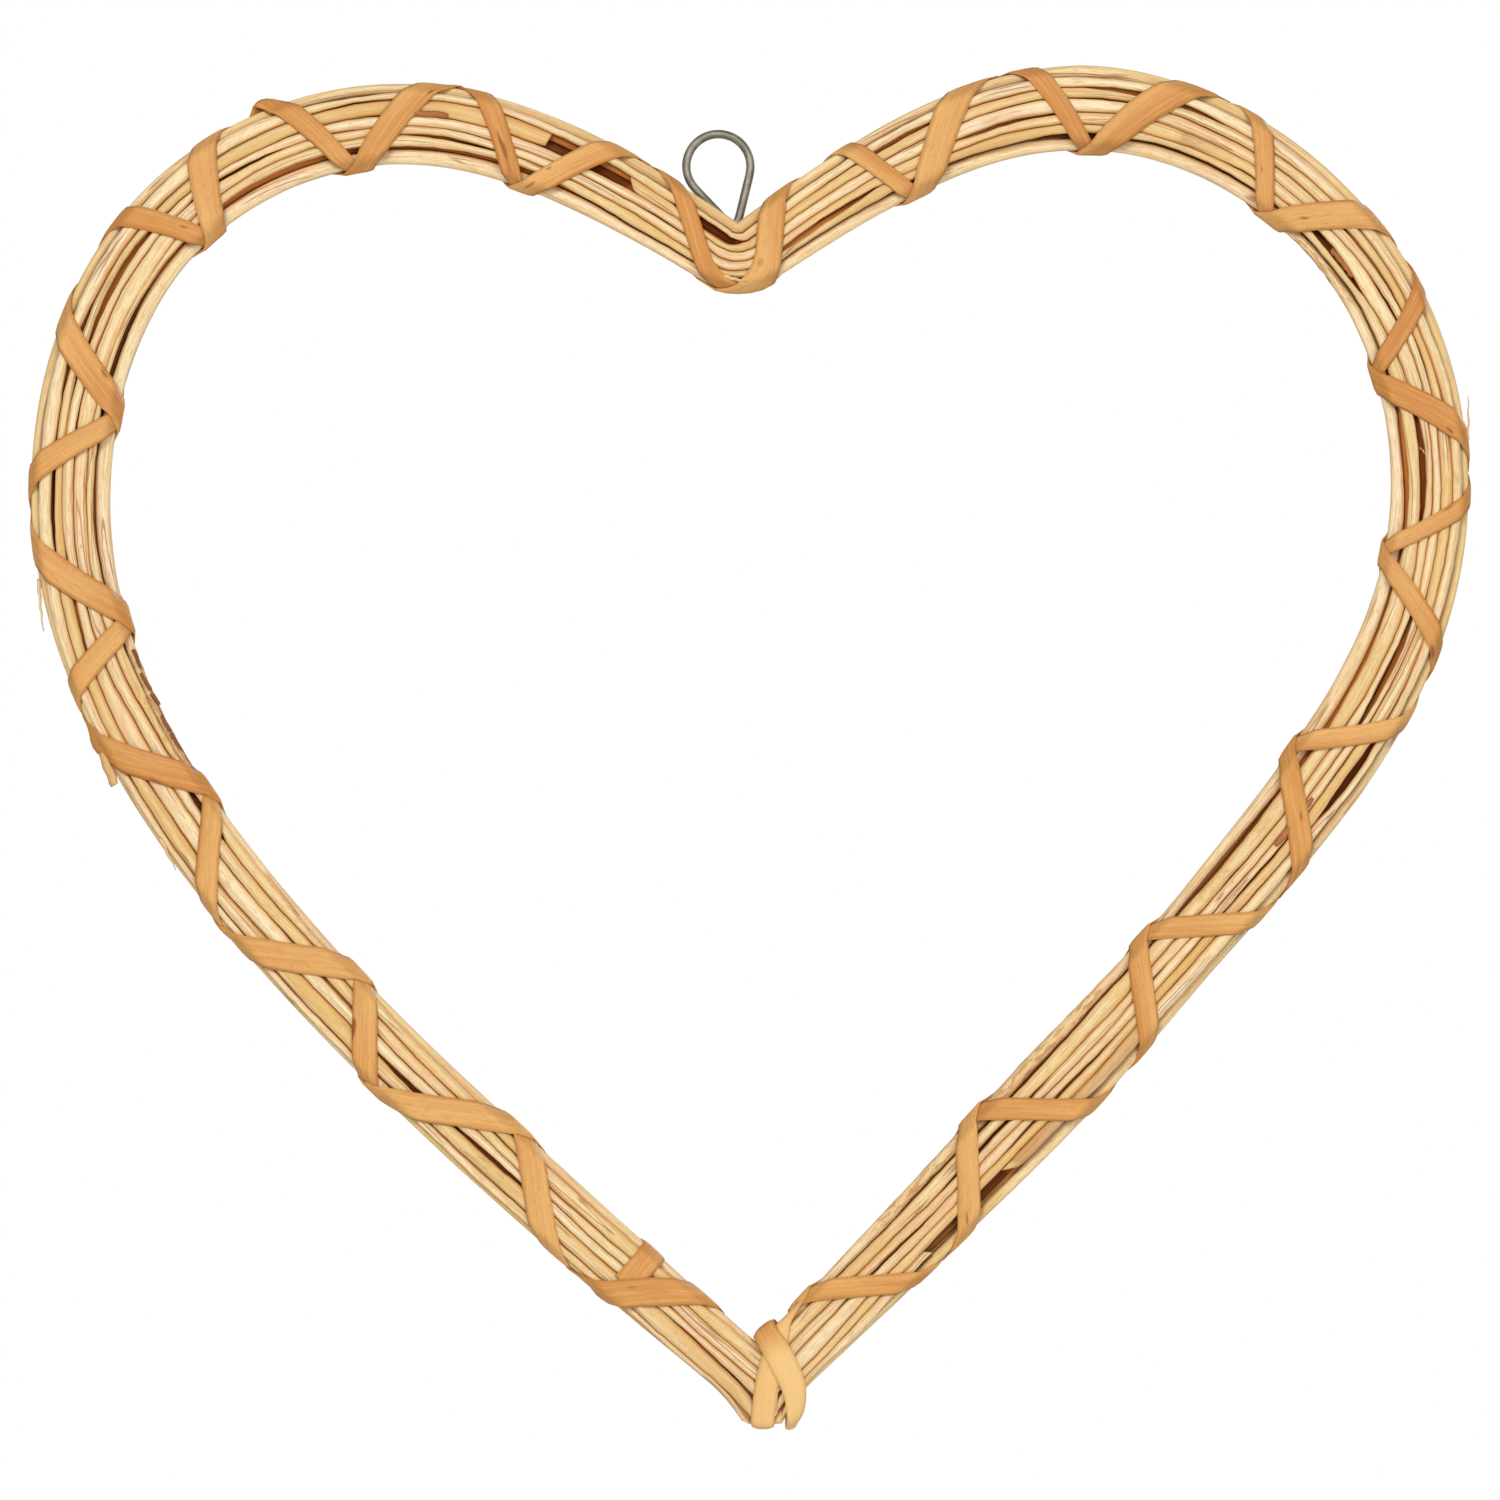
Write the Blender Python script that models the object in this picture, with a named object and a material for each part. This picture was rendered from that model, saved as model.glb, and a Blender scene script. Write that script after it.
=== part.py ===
"""Wicker heart: a bundle of peeled willow rods bent to a heart, lashed with two strips, with a wire eye.

Metres, +Z up, the front faces -Y. The origin is the inner top of the wire eye, where a hook bears.
The path of the bundle runs from the tip up the left side, through the notch and down the right side.
Along it a place is given by u (length along the path), n (outward in the heart's plane) and b (to the back).
"""
import math

import bmesh
import bpy
import numpy as np
from mathutils import Vector

# Heart
HEART_WIDTH = 0.300
# Knots of the bundle's middle line as shares of the width, measured from the lowest point below the notch
LEFT_SIDE = (
    (0.008, 0.031),
    (-0.188, 0.203),
    (-0.354, 0.377),
    (-0.461, 0.596),
    (-0.393, 0.831),
    (-0.251, 0.894),
    (-0.008, 0.7995),
)
RIGHT_SIDE = (
    (-0.008, 0.7995),
    (0.240, 0.905),
    (0.420, 0.797),
    (0.457, 0.583),
    (0.344, 0.388),
    (0.189, 0.215),
    (0.008, 0.031),
)
SPLINE_SAMPLES = 120
SEGMENTS_PER_SIDE = 17
TURN_WEIGHT = 0.65
NOTCH_CREASE_RADIUS = 0.0016
NOTCH_BENDS = 4
NOTCH_REACH = 0.010
NOTCH_HEADING_SAMPLES = 7
# Counted in strips laid beneath
UNDER_NOTCH_LIFT = 0.4
OVER_NOTCH_LIFT = 1.4

# Bundle of rods
GAP = 0.0003
BUNDLE_HALF_WIDTH = 0.0080
# Share of the path against share of the half width, from the tip round to the tip again
FULLNESS = (
    (0.000, 0.78),
    (0.070, 0.90),
    (0.210, 0.91),
    (0.280, 1.03),
    (0.390, 1.06),
    (0.455, 0.99),
    (0.498, 0.86),
    (0.545, 0.99),
    (0.590, 1.10),
    (0.655, 0.96),
    (0.740, 1.01),
    (0.800, 1.08),
    (0.855, 0.96),
    (0.900, 1.09),
    (0.965, 0.91),
    (1.000, 0.78),
)
ROWS = (("front", -1, 5), ("middle", 0, 6), ("back", 1, 5))
ROW_SPACING = math.sin(math.radians(60))
ROD_SIDES = 6
# Rods that stop and start again, as row, number from the inner edge, and the two shares of the path
SPLICES = (
    ("front", 4, 0.446, 0.468),
    ("front", 5, 0.921, 0.949),
    ("back", 5, 0.450, 0.548),
)

# Lashing
STRIP_THICKNESS = 0.0004
LAP_GAP = 0.00035
OVER_WIDTH = 0.0050
UNDER_WIDTH = 0.0043
# Each turn of the lashing: its length along the path, and the shares of it at which the over strip
# and the under strip round the outer edge. The lengths are scaled so that all turns fill their stretch.
TURNS = (
    (52.0, 0.37, 0.55),
    (46.0, 0.58, 0.59),
    (50.0, 0.45, 0.57),
    (41.0, 0.51, 0.73),
    (46.0, 0.42, 0.66),
    (47.5, 0.37, 0.77),
    (38.0, 0.30, 0.64),
    (38.5, 0.45, 0.63),
    (47.5, 0.34, 0.55),
    (38.0, 0.38, 0.77),
    (41.5, 0.45, 0.69),
    (45.0, 0.44, 0.67),
    (44.5, 0.38, 0.66),
    (40.0, 0.42, 0.66),
    (48.5, 0.37, 0.62),
    (50.0, 0.41, 0.60),
    (51.0, 0.34, 0.60),
    (51.5, 0.39, 0.57),
)
LASHING_START = 0.0245
LASHING_END = 0.9785
UNDER_TAIL_SHARE = 0.27
UNDER_TAIL_HEIGHT = 0.44
UNDER_TAIL_SPREAD = 1.1
OVER_HEAD_REACH = 0.0095
TIP_LOOP_OUTER = 0.0016
TIP_LOOP_INNER = 0.0095
TIP_BAND_WIDTH = 0.0048
TIP_BAND_SHIFT = 0.0006
TIP_BAND_RISE = 0.0018
TIP_BAND_BACK_HEIGHT = 0.0080

# Wire eye
WIRE_DIAMETER = 0.0018
WIRE_SIDES = 6
EYE_RADIUS = 0.00665
EYE_ABOVE_NOTCH = 0.0202
EYE_LEFT_OF_NOTCH = 0.0041
EYE_DEPTH = 0.0035
RIGHT_LEG_ANGLE = 76.4
LEFT_LEG_ANGLE = 46.0
LEG_LENGTH = 0.0096
EYE_SEGMENTS = 12
WIRE_BEND_SEGMENTS = 4
WIRE_TAIL = 0.036
WIRE_JOIN_LEFT = 0.0075
WIRE_JOIN_RIGHT = 0.0120
FOOT_STAND_OFF = 0.00045
CROSSING_GAP = 0.0004

COLOURS = {
    "willow_pale": ((0.80, 0.62, 0.36), 0.62, 0.0),
    "willow_golden": ((0.76, 0.53, 0.25), 0.62, 0.0),
    "skein_over": ((0.74, 0.43, 0.18), 0.50, 0.0),
    "skein_under": ((0.70, 0.40, 0.17), 0.52, 0.0),
    "galvanised_wire": ((0.36, 0.36, 0.33), 0.38, 0.9),
}


def natural_spline(knots):
    """Fine points on the natural cubic spline through the knots, spaced by chord length."""
    points = np.array(knots) * HEART_WIDTH
    chord = np.hypot(*np.diff(points, axis=0).T)
    count = len(points)
    matrix = np.eye(count)
    right = np.zeros((count, 2))
    for i in range(1, count - 1):
        matrix[i, i - 1] = chord[i - 1]
        matrix[i, i] = 2 * (chord[i - 1] + chord[i])
        matrix[i, i + 1] = chord[i]
        slope_after = (points[i + 1] - points[i]) / chord[i]
        slope_before = (points[i] - points[i - 1]) / chord[i - 1]
        right[i] = 6 * (slope_after - slope_before)
    bend = np.linalg.solve(matrix, right)
    fine = []
    for i in range(count - 1):
        last = i == count - 2
        for share in np.linspace(0, 1, SPLINE_SAMPLES, endpoint=last):
            a = 1 - share
            cubic = (a ** 3 - a) * bend[i] + (share ** 3 - share) * bend[i + 1]
            fine.append(a * points[i] + share * points[i + 1] + cubic * chord[i] ** 2 / 6)
    return np.array(fine)


def stations(fine, start, stop):
    """Station lengths along one side, closer together where the side bends more."""
    step = np.diff(fine, axis=0)
    length = np.concatenate(([0.0], np.cumsum(np.hypot(*step.T))))
    heading = np.unwrap(np.arctan2(step[:, 1], step[:, 0]))
    turned = np.concatenate(([0.0], np.cumsum(np.abs(np.diff(heading))), [0.0]))
    turned[-1] = turned[-2]
    measure = TURN_WEIGHT * turned / turned[-1] + (1 - TURN_WEIGHT) * length / length[-1]
    low = np.interp(start, length, measure)
    high = np.interp(stop, length, measure)
    return np.interp(np.linspace(low, high, SEGMENTS_PER_SIDE + 1), measure, length)


def fullness(share):
    """Half width of the bundle at a share of the path."""
    shares, factors = zip(*FULLNESS)
    return BUNDLE_HALF_WIDTH * float(np.interp(share, shares, factors))


def side_points(fine, trim_start, trim_stop):
    """Station points on one side, cut back by a trim at each end."""
    run = np.concatenate(([0.0], np.cumsum(np.hypot(*np.diff(fine, axis=0).T))))
    lengths = stations(fine, trim_start, run[-1] - trim_stop)
    return [np.array([np.interp(length, run, fine[:, k]) for k in range(2)]) for length in lengths]


def across_line(direction):
    """The unit vector to the left of a direction."""
    unit = direction / np.hypot(*direction)
    return np.array([-unit[1], unit[0]])


def build_path():
    """Stations of the whole path: their lengths, middle points, outward vectors, and the notch's length."""
    left = natural_spline(LEFT_SIDE)
    right = natural_spline(RIGHT_SIDE)
    out_before = across_line(left[-1] - left[-1 - NOTCH_HEADING_SAMPLES])
    out_after = across_line(right[NOTCH_HEADING_SAMPLES] - right[0])
    turn = math.acos(float(out_before @ out_after))
    radius = fullness(0.5) + NOTCH_CREASE_RADIUS
    bend = turn / NOTCH_BENDS
    upward = (out_before + out_after) / np.hypot(*(out_before + out_after))
    centre = left[-1] + upward * radius / math.cos(turn / 2)
    trim = radius * math.tan(turn / 2)
    notch = []
    for k in range(NOTCH_BENDS):
        angle = (k + 0.5) * bend - turn / 2
        away = upward * math.cos(angle) + np.array([upward[1], -upward[0]]) * -math.sin(angle)
        notch.append(centre - away * radius / math.cos(bend / 2))
    points = side_points(left, 0.0, trim)[:-1] + notch + side_points(right, trim, 0.0)[1:]
    middle = np.array(points)
    along = np.diff(middle, axis=0)
    lengths = np.hypot(*along.T)
    at = np.concatenate(([0.0], np.cumsum(lengths)))
    across = [across_line(step) for step in along]
    outward = [across[0]]
    for before, after in zip(across[:-1], across[1:]):
        bisector = before + after
        bisector /= np.hypot(*bisector)
        outward.append(bisector / float(bisector @ after))
    outward.append(across[-1])
    crease = SEGMENTS_PER_SIDE + NOTCH_BENDS // 2
    notch_at = (at[crease - 1] + at[crease]) / 2
    return at, middle, np.array(outward), float(notch_at)


AT, MIDDLE, OUTWARD, NOTCH_AT = build_path()
PATH_LENGTH = float(AT[-1])
NOTCH = Vector((LEFT_SIDE[-1][0] * HEART_WIDTH, 0.0, LEFT_SIDE[-1][1] * HEART_WIDTH))
TIP = Vector((LEFT_SIDE[0][0] * HEART_WIDTH, 0.0, LEFT_SIDE[0][1] * HEART_WIDTH))
EYE_CENTRE = NOTCH + Vector((-EYE_LEFT_OF_NOTCH, EYE_DEPTH, EYE_ABOVE_NOTCH))
HANG_POINT = EYE_CENTRE + Vector((0.0, 0.0, EYE_RADIUS - WIRE_DIAMETER / 2))


def place(u, n, b):
    """The point at u along the path, n outward and b to the back."""
    i = int(np.clip(np.searchsorted(AT, u) - 1, 0, len(AT) - 2))
    share = (u - AT[i]) / (AT[i + 1] - AT[i])
    centre = MIDDLE[i] + share * (MIDDLE[i + 1] - MIDDLE[i])
    out = OUTWARD[i] + share * (OUTWARD[i + 1] - OUTWARD[i])
    return Vector((centre[0] + n * out[0], b, centre[1] + n * out[1]))


def pitch(u):
    """Distance between neighbouring rods of a row."""
    return (fullness(u / PATH_LENGTH) + GAP / 2) / (ROWS[1][2] / 2)


def rod_radius(u):
    """Radius of every rod at u."""
    return (pitch(u) - GAP) / 2


def rod_end(offset, at_start):
    """Where a rod is cut square so that its corner just meets the middle plane of the tip."""
    u = 0.0 if at_start else PATH_LENGTH
    out = OUTWARD[0] if at_start else OUTWARD[-1]
    side = -1.0 if at_start else 1.0
    lean = out[0] * side / abs(out[1])
    inner_corner = offset * pitch(u) - rod_radius(u)
    back_off = -inner_corner * lean + GAP / 2 / abs(out[1])
    return back_off if at_start else PATH_LENGTH - back_off


def finish_mesh(name, mesh_builder, slot, smooth):
    """Make one object from a filled bmesh, set at the heart's place below the eye."""
    bmesh.ops.recalc_face_normals(mesh_builder, faces=mesh_builder.faces[:])
    for face in mesh_builder.faces:
        face.smooth = smooth
    mesh = bpy.data.meshes.new(name)
    mesh_builder.to_mesh(mesh)
    mesh_builder.free()
    mesh.materials.append(material(slot))
    thing = bpy.data.objects.new(name, mesh)
    bpy.context.scene.collection.objects.link(thing)
    thing.parent = FRAME
    return thing


def material(slot):
    """The named material, made once."""
    found = bpy.data.materials.get(slot)
    if found:
        return found
    colour, roughness, metallic = COLOURS[slot]
    made = bpy.data.materials.new(slot)
    made.use_nodes = True
    shader = made.node_tree.nodes["Principled BSDF"]
    shader.inputs["Base Color"].default_value = (*colour, 1.0)
    shader.inputs["Roughness"].default_value = roughness
    shader.inputs["Metallic"].default_value = metallic
    return made


def loft(name, rings, slot, smooth):
    """A closed solid through rings of equal count, capped at both ends."""
    builder = bmesh.new()
    corners = [[builder.verts.new(point) for point in ring] for ring in rings]
    count = len(rings[0])
    for before, after in zip(corners[:-1], corners[1:]):
        for k in range(count):
            m = (k + 1) % count
            builder.faces.new((before[k], before[m], after[m], after[k]))
    builder.faces.new(corners[0][::-1])
    builder.faces.new(corners[-1])
    return finish_mesh(name, builder, slot, smooth)


def rod(name, offset, row, start, stop, slot):
    """One rod from start to stop along the path."""
    between = [u for u in AT[1:-1] if start + GAP < u < stop - GAP]
    rings = []
    for u in [start, *between, stop]:
        ring = []
        for k in range(ROD_SIDES):
            angle = 2 * math.pi * k / ROD_SIDES
            n = offset * pitch(u) + rod_radius(u) * math.cos(angle)
            b = row * ROW_SPACING * pitch(u) + rod_radius(u) * math.sin(angle)
            ring.append(place(u, n, b))
        rings.append(ring)
    return loft(name, rings, slot, True)


def build_rods():
    """All rods of the bundle, row by row from the inner edge out."""
    for row_name, row, count in ROWS:
        for number in range(1, count + 1):
            offset = number - (count + 1) / 2
            slot = "willow_golden" if (number + row) % 3 == 0 else "willow_pale"
            name = f"rod_{row_name}_{number}"
            start = rod_end(offset, True)
            stop = rod_end(offset, False)
            splice = [s for s in SPLICES if s[0] == row_name and s[1] == number]
            if splice:
                break_start = splice[0][2] * PATH_LENGTH
                break_stop = splice[0][3] * PATH_LENGTH
                rod(f"{name}_left", offset, row, start, break_start, slot)
                rod(f"{name}_right", offset, row, break_stop, stop, slot)
            else:
                rod(name, offset, row, start, stop, slot)


def wrap_corner(u, corner, level, thickness):
    """A fold of the lashing: n and b on the six-sided wrap round the bundle, or on its flat faces.

    Corners 0 to 7 run from the inner edge over the front to the outer edge and round the back, and a
    fraction lies on the face after a corner. The level counts how many strips lie beneath.
    """
    spacing = pitch(u)
    reach = rod_radius(u) + GAP + level * (STRIP_THICKNESS + LAP_GAP) + thickness
    edge = (ROWS[1][2] - 1) / 2 * spacing + reach / math.cos(math.pi / 6)
    flat = (ROWS[0][2] - 1) / 2 * spacing + reach * math.tan(math.pi / 6)
    face = ROW_SPACING * spacing + reach
    spots = (
        (-edge, 0.0),
        (-flat, -face),
        (0.0, -face),
        (flat, -face),
        (edge, 0.0),
        (flat, face),
        (0.0, face),
        (-flat, face),
    )
    before = spots[int(corner)]
    after = spots[(int(corner) + 1) % len(spots)]
    part = corner - int(corner)
    return tuple(x + part * (y - x) for x, y in zip(before, after))


def corner_share():
    """How far round half a turn the first fold after an edge lies."""
    spacing = pitch(PATH_LENGTH / 4)
    reach = rod_radius(PATH_LENGTH / 4) + GAP
    slant = spacing + 2 * reach * math.tan(math.pi / 6)
    front = (ROWS[0][2] - 1) * spacing + 2 * reach * math.tan(math.pi / 6)
    return slant / (2 * slant + front), 2 * slant + front


def section(u, corner, level, spread):
    """Four corners of a strip's section, which lies along the rods and bears on the outermost spot."""
    reach = spread / 2
    n_here = wrap_corner(u, corner, level, 0.0)[0]
    stretch = (place(u + reach, n_here, 0.0) - place(u - reach, n_here, 0.0)).length / spread
    reach /= stretch
    inner = []
    outer = []
    for at in (u - reach, u + reach):
        inner.append(place(at, *wrap_corner(at, corner, level, 0.0)))
        outer.append(place(at, *wrap_corner(at, corner, level, STRIP_THICKNESS)))
    centre = place(u, *wrap_corner(u, corner, level, 0.0))
    away = (place(u, n_here, 0.0) - place(u, 0.0, 0.0)).normalized()
    lift = max(0.0, (centre - (inner[0] + inner[1]) / 2).dot(away)) * away
    return [inner[0] + lift, inner[1] + lift, outer[1] + lift, outer[0] + lift]


def half_turn(corners, start, stop, level_start, level_stop, width):
    """Sections for half a turn, from one edge of the bundle to just before the other."""
    first, around = corner_share()
    spread = width * math.hypot(1.0, (stop - start) / around)
    shares = (0.0, first, 0.5, 1.0 - first)
    levels = (level_start, level_start, (level_start + level_stop) / 2, level_stop)
    steps = []
    for corner, share, level in zip(corners, shares, levels):
        steps.append([start + share * (stop - start), corner, level, spread])
    inner_end = start if corners[0] == 0 else stop
    if abs(inner_end - NOTCH_AT) < NOTCH_REACH:
        middle = 7.5 if 7 in corners else 0.5
        if corners[0] == 0:
            steps.insert(1, [start + first / 2 * (stop - start), middle, level_start, spread])
        else:
            steps.append([stop - first / 2 * (stop - start), middle, level_stop, spread])
    return steps


def join_steps(steps):
    """Even out the spread at each edge with the half turn before it."""
    for before, here in zip(steps[:-1], steps[1:]):
        if here[1] in (0, 4):
            here[3] = (before[3] + here[3]) / 2
    return steps


def lift_at_notch(steps, lift):
    """Stand a strip off the rods where it rounds the outside of the notch's bend."""
    for step in steps:
        if step[1] in (7, 7.5, 0, 0.5, 1) and abs(step[0] - NOTCH_AT) < NOTCH_REACH:
            step[2] += lift


def turn_marks():
    """Where each turn starts on the inner edge, and where both strips round the outer edge."""
    total = sum(turn[0] for turn in TURNS)
    scale = (LASHING_END - LASHING_START) * PATH_LENGTH / total
    inner = [LASHING_START * PATH_LENGTH]
    over = []
    under = []
    for length, over_share, under_share in TURNS:
        over.append(inner[-1] + over_share * length * scale)
        under.append(inner[-1] + under_share * length * scale)
        inner.append(inner[-1] + length * scale)
    return inner, over, under


FRONT_OUT = (0, 1, 2, 3)
FRONT_IN = (4, 3, 2, 1)
BACK_OUT = (0, 7, 6, 5)
BACK_IN = (4, 5, 6, 7)


def tip_sections():
    """The over strip's last sections: down over the tip, under it and a short way up the back."""
    level = 1
    depth = -wrap_corner(PATH_LENGTH, 2, level, 0.0)[1]
    lowest = min(
        place(rod_end(offset, start), offset * pitch(0.0) + rod_radius(0.0), 0.0).z
        for offset in ((count - 1) / 2 for _, _, count in ROWS)
        for start in (True, False)
    )
    bottom = lowest - GAP - level * (STRIP_THICKNESS + LAP_GAP)
    left = TIP.x + TIP_BAND_SHIFT - TIP_BAND_WIDTH / 2
    right = TIP.x + TIP_BAND_SHIFT + TIP_BAND_WIDTH / 2
    spots = (
        (-depth, TIP.z + TIP_BAND_RISE, -1.0, 0.0),
        (-depth, bottom, -1.0, -1.0),
        (depth, bottom, 1.0, -1.0),
        (depth, bottom + TIP_BAND_BACK_HEIGHT, 1.0, 0.0),
    )
    rings = []
    for b, z, out_b, out_z in spots:
        ring = []
        for x, thickness in ((right, 0.0), (left, 0.0), (left, STRIP_THICKNESS), (right, STRIP_THICKNESS)):
            ring.append(Vector((x, b + out_b * thickness, z + out_z * thickness)))
        rings.append(ring)
    return rings


def build_over_strip():
    """The strip that lies outermost, from behind the left side of the tip round to the tip."""
    inner, over, _ = turn_marks()
    head = half_turn(BACK_IN, inner[0] - 2 * OVER_HEAD_REACH, inner[0], 1, 1, OVER_WIDTH)[2:]
    steps = head
    for k in range(len(TURNS)):
        steps += half_turn(FRONT_OUT, inner[k], over[k], 1, 1, OVER_WIDTH)
        steps += half_turn(BACK_IN, over[k], inner[k + 1], 1, 1, OVER_WIDTH)
    last = half_turn(FRONT_OUT, inner[-1], inner[-1] + 2 * OVER_HEAD_REACH, 1, 1, OVER_WIDTH)[:2]
    steps = join_steps(steps + last)
    lift_at_notch(steps, OVER_NOTCH_LIFT)
    rings = [section(*step) for step in steps] + tip_sections()
    loft("lashing_strip_over", rings, "skein_over", False)


def build_under_strip():
    """The strip wound the other way beneath, with its tucked start and its last loop over the tip."""
    inner, _, under = turn_marks()
    tail_at = inner[0] + UNDER_TAIL_SHARE * (inner[1] - inner[0])
    steps = [[tail_at, 1, 0, UNDER_WIDTH * UNDER_TAIL_SPREAD]]
    steps += half_turn(BACK_OUT, tail_at, under[0], 0, 0, UNDER_WIDTH)
    for k in range(len(TURNS)):
        if k:
            steps += half_turn(BACK_OUT, inner[k], under[k], 0, 0, UNDER_WIDTH)
        steps += half_turn(FRONT_IN, under[k], inner[k + 1], 0, 0, UNDER_WIDTH)
    loop_outer = PATH_LENGTH - TIP_LOOP_OUTER
    loop_inner = PATH_LENGTH - TIP_LOOP_INNER
    steps += half_turn(BACK_OUT, inner[-1], loop_outer, 0, 2, UNDER_WIDTH)
    steps += half_turn(FRONT_IN, loop_outer, loop_inner, 2, 2, UNDER_WIDTH)
    steps += half_turn(BACK_OUT, loop_inner, loop_inner - UNDER_WIDTH / 2, 2, 2, UNDER_WIDTH)[:2]
    steps = join_steps(steps)
    lift_at_notch(steps, UNDER_NOTCH_LIFT)
    tail_n = -UNDER_TAIL_HEIGHT * wrap_corner(tail_at, 1, 0, 0.0)[0]
    tail = []
    for shift, thickness in ((-0.5, 0.0), (0.5, 0.0), (0.5, STRIP_THICKNESS), (-0.5, STRIP_THICKNESS)):
        at = tail_at + shift * steps[0][3]
        tail.append(place(at, tail_n, wrap_corner(at, 2, 0, thickness)[1]))
    rings = [tail] + [section(*step) for step in steps]
    loft("lashing_strip_under", rings, "skein_under", False)


def channel(u):
    """Middle of the wire where it takes a rod's place in the back row."""
    return place(u, (ROWS[2][2] - 1) / 2 * pitch(u), ROW_SPACING * pitch(u))


def meeting_point(start, along, other, other_along):
    """Where two lines in the heart's plane meet, at the depth of the first."""
    cross = along.x * other_along.z - along.z * other_along.x
    apart = other - start
    reach = (apart.x * other_along.z - apart.z * other_along.x) / cross
    return Vector((start.x + reach * along.x, start.y, start.z + reach * along.z))


def bend_points(start, corner, stop):
    """Points between start and stop on the curve that leaves and arrives along the lines to a corner."""
    shares = [k / WIRE_BEND_SEGMENTS for k in range(1, WIRE_BEND_SEGMENTS)]
    return [start.lerp(corner, t).lerp(corner.lerp(stop, t), t) for t in shares]


def build_wire():
    """The wire: laid in the left side, up into the eye, down across itself and into the right side."""
    right_angle = math.radians(RIGHT_LEG_ANGLE)
    left_angle = math.radians(LEFT_LEG_ANGLE)
    right_along = Vector((math.cos(right_angle), 0.0, math.sin(right_angle)))
    left_along = Vector((math.cos(left_angle), 0.0, -math.sin(left_angle)))
    right_touch = right_angle - math.pi / 2
    left_touch = math.pi * 1.5 - left_angle
    arc = []
    for k in range(EYE_SEGMENTS + 1):
        angle = right_touch + k * (left_touch - right_touch) / EYE_SEGMENTS
        arc.append(EYE_CENTRE + EYE_RADIUS * Vector((math.cos(angle), 0.0, math.sin(angle))))
    right_foot = arc[0] - LEG_LENGTH * right_along
    right_foot.y = channel(NOTCH_AT).y + FOOT_STAND_OFF
    left_foot = arc[-1] + LEG_LENGTH * left_along
    left_foot.y = right_foot.y + WIRE_DIAMETER + CROSSING_GAP

    laid_left = NOTCH_AT - WIRE_JOIN_LEFT
    left_run = [u for u in AT if NOTCH_AT - WIRE_TAIL + GAP < u < laid_left - GAP]
    path = [channel(u) for u in (NOTCH_AT - WIRE_TAIL, *left_run, laid_left)]
    corner = meeting_point(right_foot, right_along, path[-1], path[-1] - path[-2])
    path += bend_points(path[-1], corner, right_foot)
    path.append(right_foot)
    path += arc
    path.append(left_foot)
    laid_right = NOTCH_AT + WIRE_JOIN_RIGHT
    right_run = [u for u in AT if laid_right + GAP < u < NOTCH_AT + WIRE_TAIL - GAP]
    laid = [channel(u) for u in (laid_right, *right_run, NOTCH_AT + WIRE_TAIL)]
    corner = meeting_point(left_foot, left_along, laid[0], laid[1] - laid[0])
    path += bend_points(left_foot, corner, laid[0])
    path += laid
    tube("wire_hanger", path, WIRE_DIAMETER / 2, "galvanised_wire")


def tube(name, path, radius, slot):
    """A round bar swept along a path of points without twist."""
    directions = [(after - before).normalized() for before, after in zip(path[:-1], path[1:])]
    rings = []
    side = directions[0].cross(Vector((0.0, 1.0, 0.0))).normalized()
    for k, point in enumerate(path):
        before = directions[max(k - 1, 0)]
        after = directions[min(k, len(directions) - 1)]
        along = (before + after).normalized()
        stretch = 1.0 / along.dot(after)
        side = (side - side.dot(along) * along).normalized()
        other = along.cross(side)
        bend_axis = before.cross(after)
        ring = []
        for m in range(WIRE_SIDES):
            angle = 2 * math.pi * m / WIRE_SIDES
            spoke = radius * (math.cos(angle) * side + math.sin(angle) * other)
            if bend_axis.length > 1e-6:
                inward = bend_axis.cross(along).normalized()
                spoke += (stretch - 1.0) * spoke.dot(inward) * inward
            ring.append(point + spoke)
        rings.append(ring)
    return loft(name, rings, slot, True)


for old in list(bpy.data.objects):
    bpy.data.objects.remove(old, do_unlink=True)

FRAME = bpy.data.objects.new("heart_frame", None)
FRAME.location = -HANG_POINT
bpy.context.scene.collection.objects.link(FRAME)

build_rods()
build_over_strip()
build_under_strip()
build_wire()
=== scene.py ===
"""Looks of the wicker heart: uneven willow rods, flat lashing strips and the wire eye.

Metres, +Z up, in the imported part's frame. A place in the bundle is given as in the part's source: u is the
length along the path from the point round to the point, n is outward in the heart's plane and b is to the
back.
"""
import math
import bpy
import numpy as np
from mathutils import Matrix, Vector


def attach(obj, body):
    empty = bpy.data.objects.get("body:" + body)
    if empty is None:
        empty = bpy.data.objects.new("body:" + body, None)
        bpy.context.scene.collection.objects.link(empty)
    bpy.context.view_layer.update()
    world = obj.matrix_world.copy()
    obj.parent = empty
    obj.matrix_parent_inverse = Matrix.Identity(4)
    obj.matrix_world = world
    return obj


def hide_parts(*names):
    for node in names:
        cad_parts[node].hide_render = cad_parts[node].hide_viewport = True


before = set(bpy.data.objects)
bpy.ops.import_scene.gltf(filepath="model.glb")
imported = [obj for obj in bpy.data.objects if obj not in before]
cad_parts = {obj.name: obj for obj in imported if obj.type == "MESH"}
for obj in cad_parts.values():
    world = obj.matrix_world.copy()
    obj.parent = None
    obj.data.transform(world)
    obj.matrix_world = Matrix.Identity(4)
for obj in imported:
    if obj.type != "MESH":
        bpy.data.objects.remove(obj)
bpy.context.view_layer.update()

MM = 0.001

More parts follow.
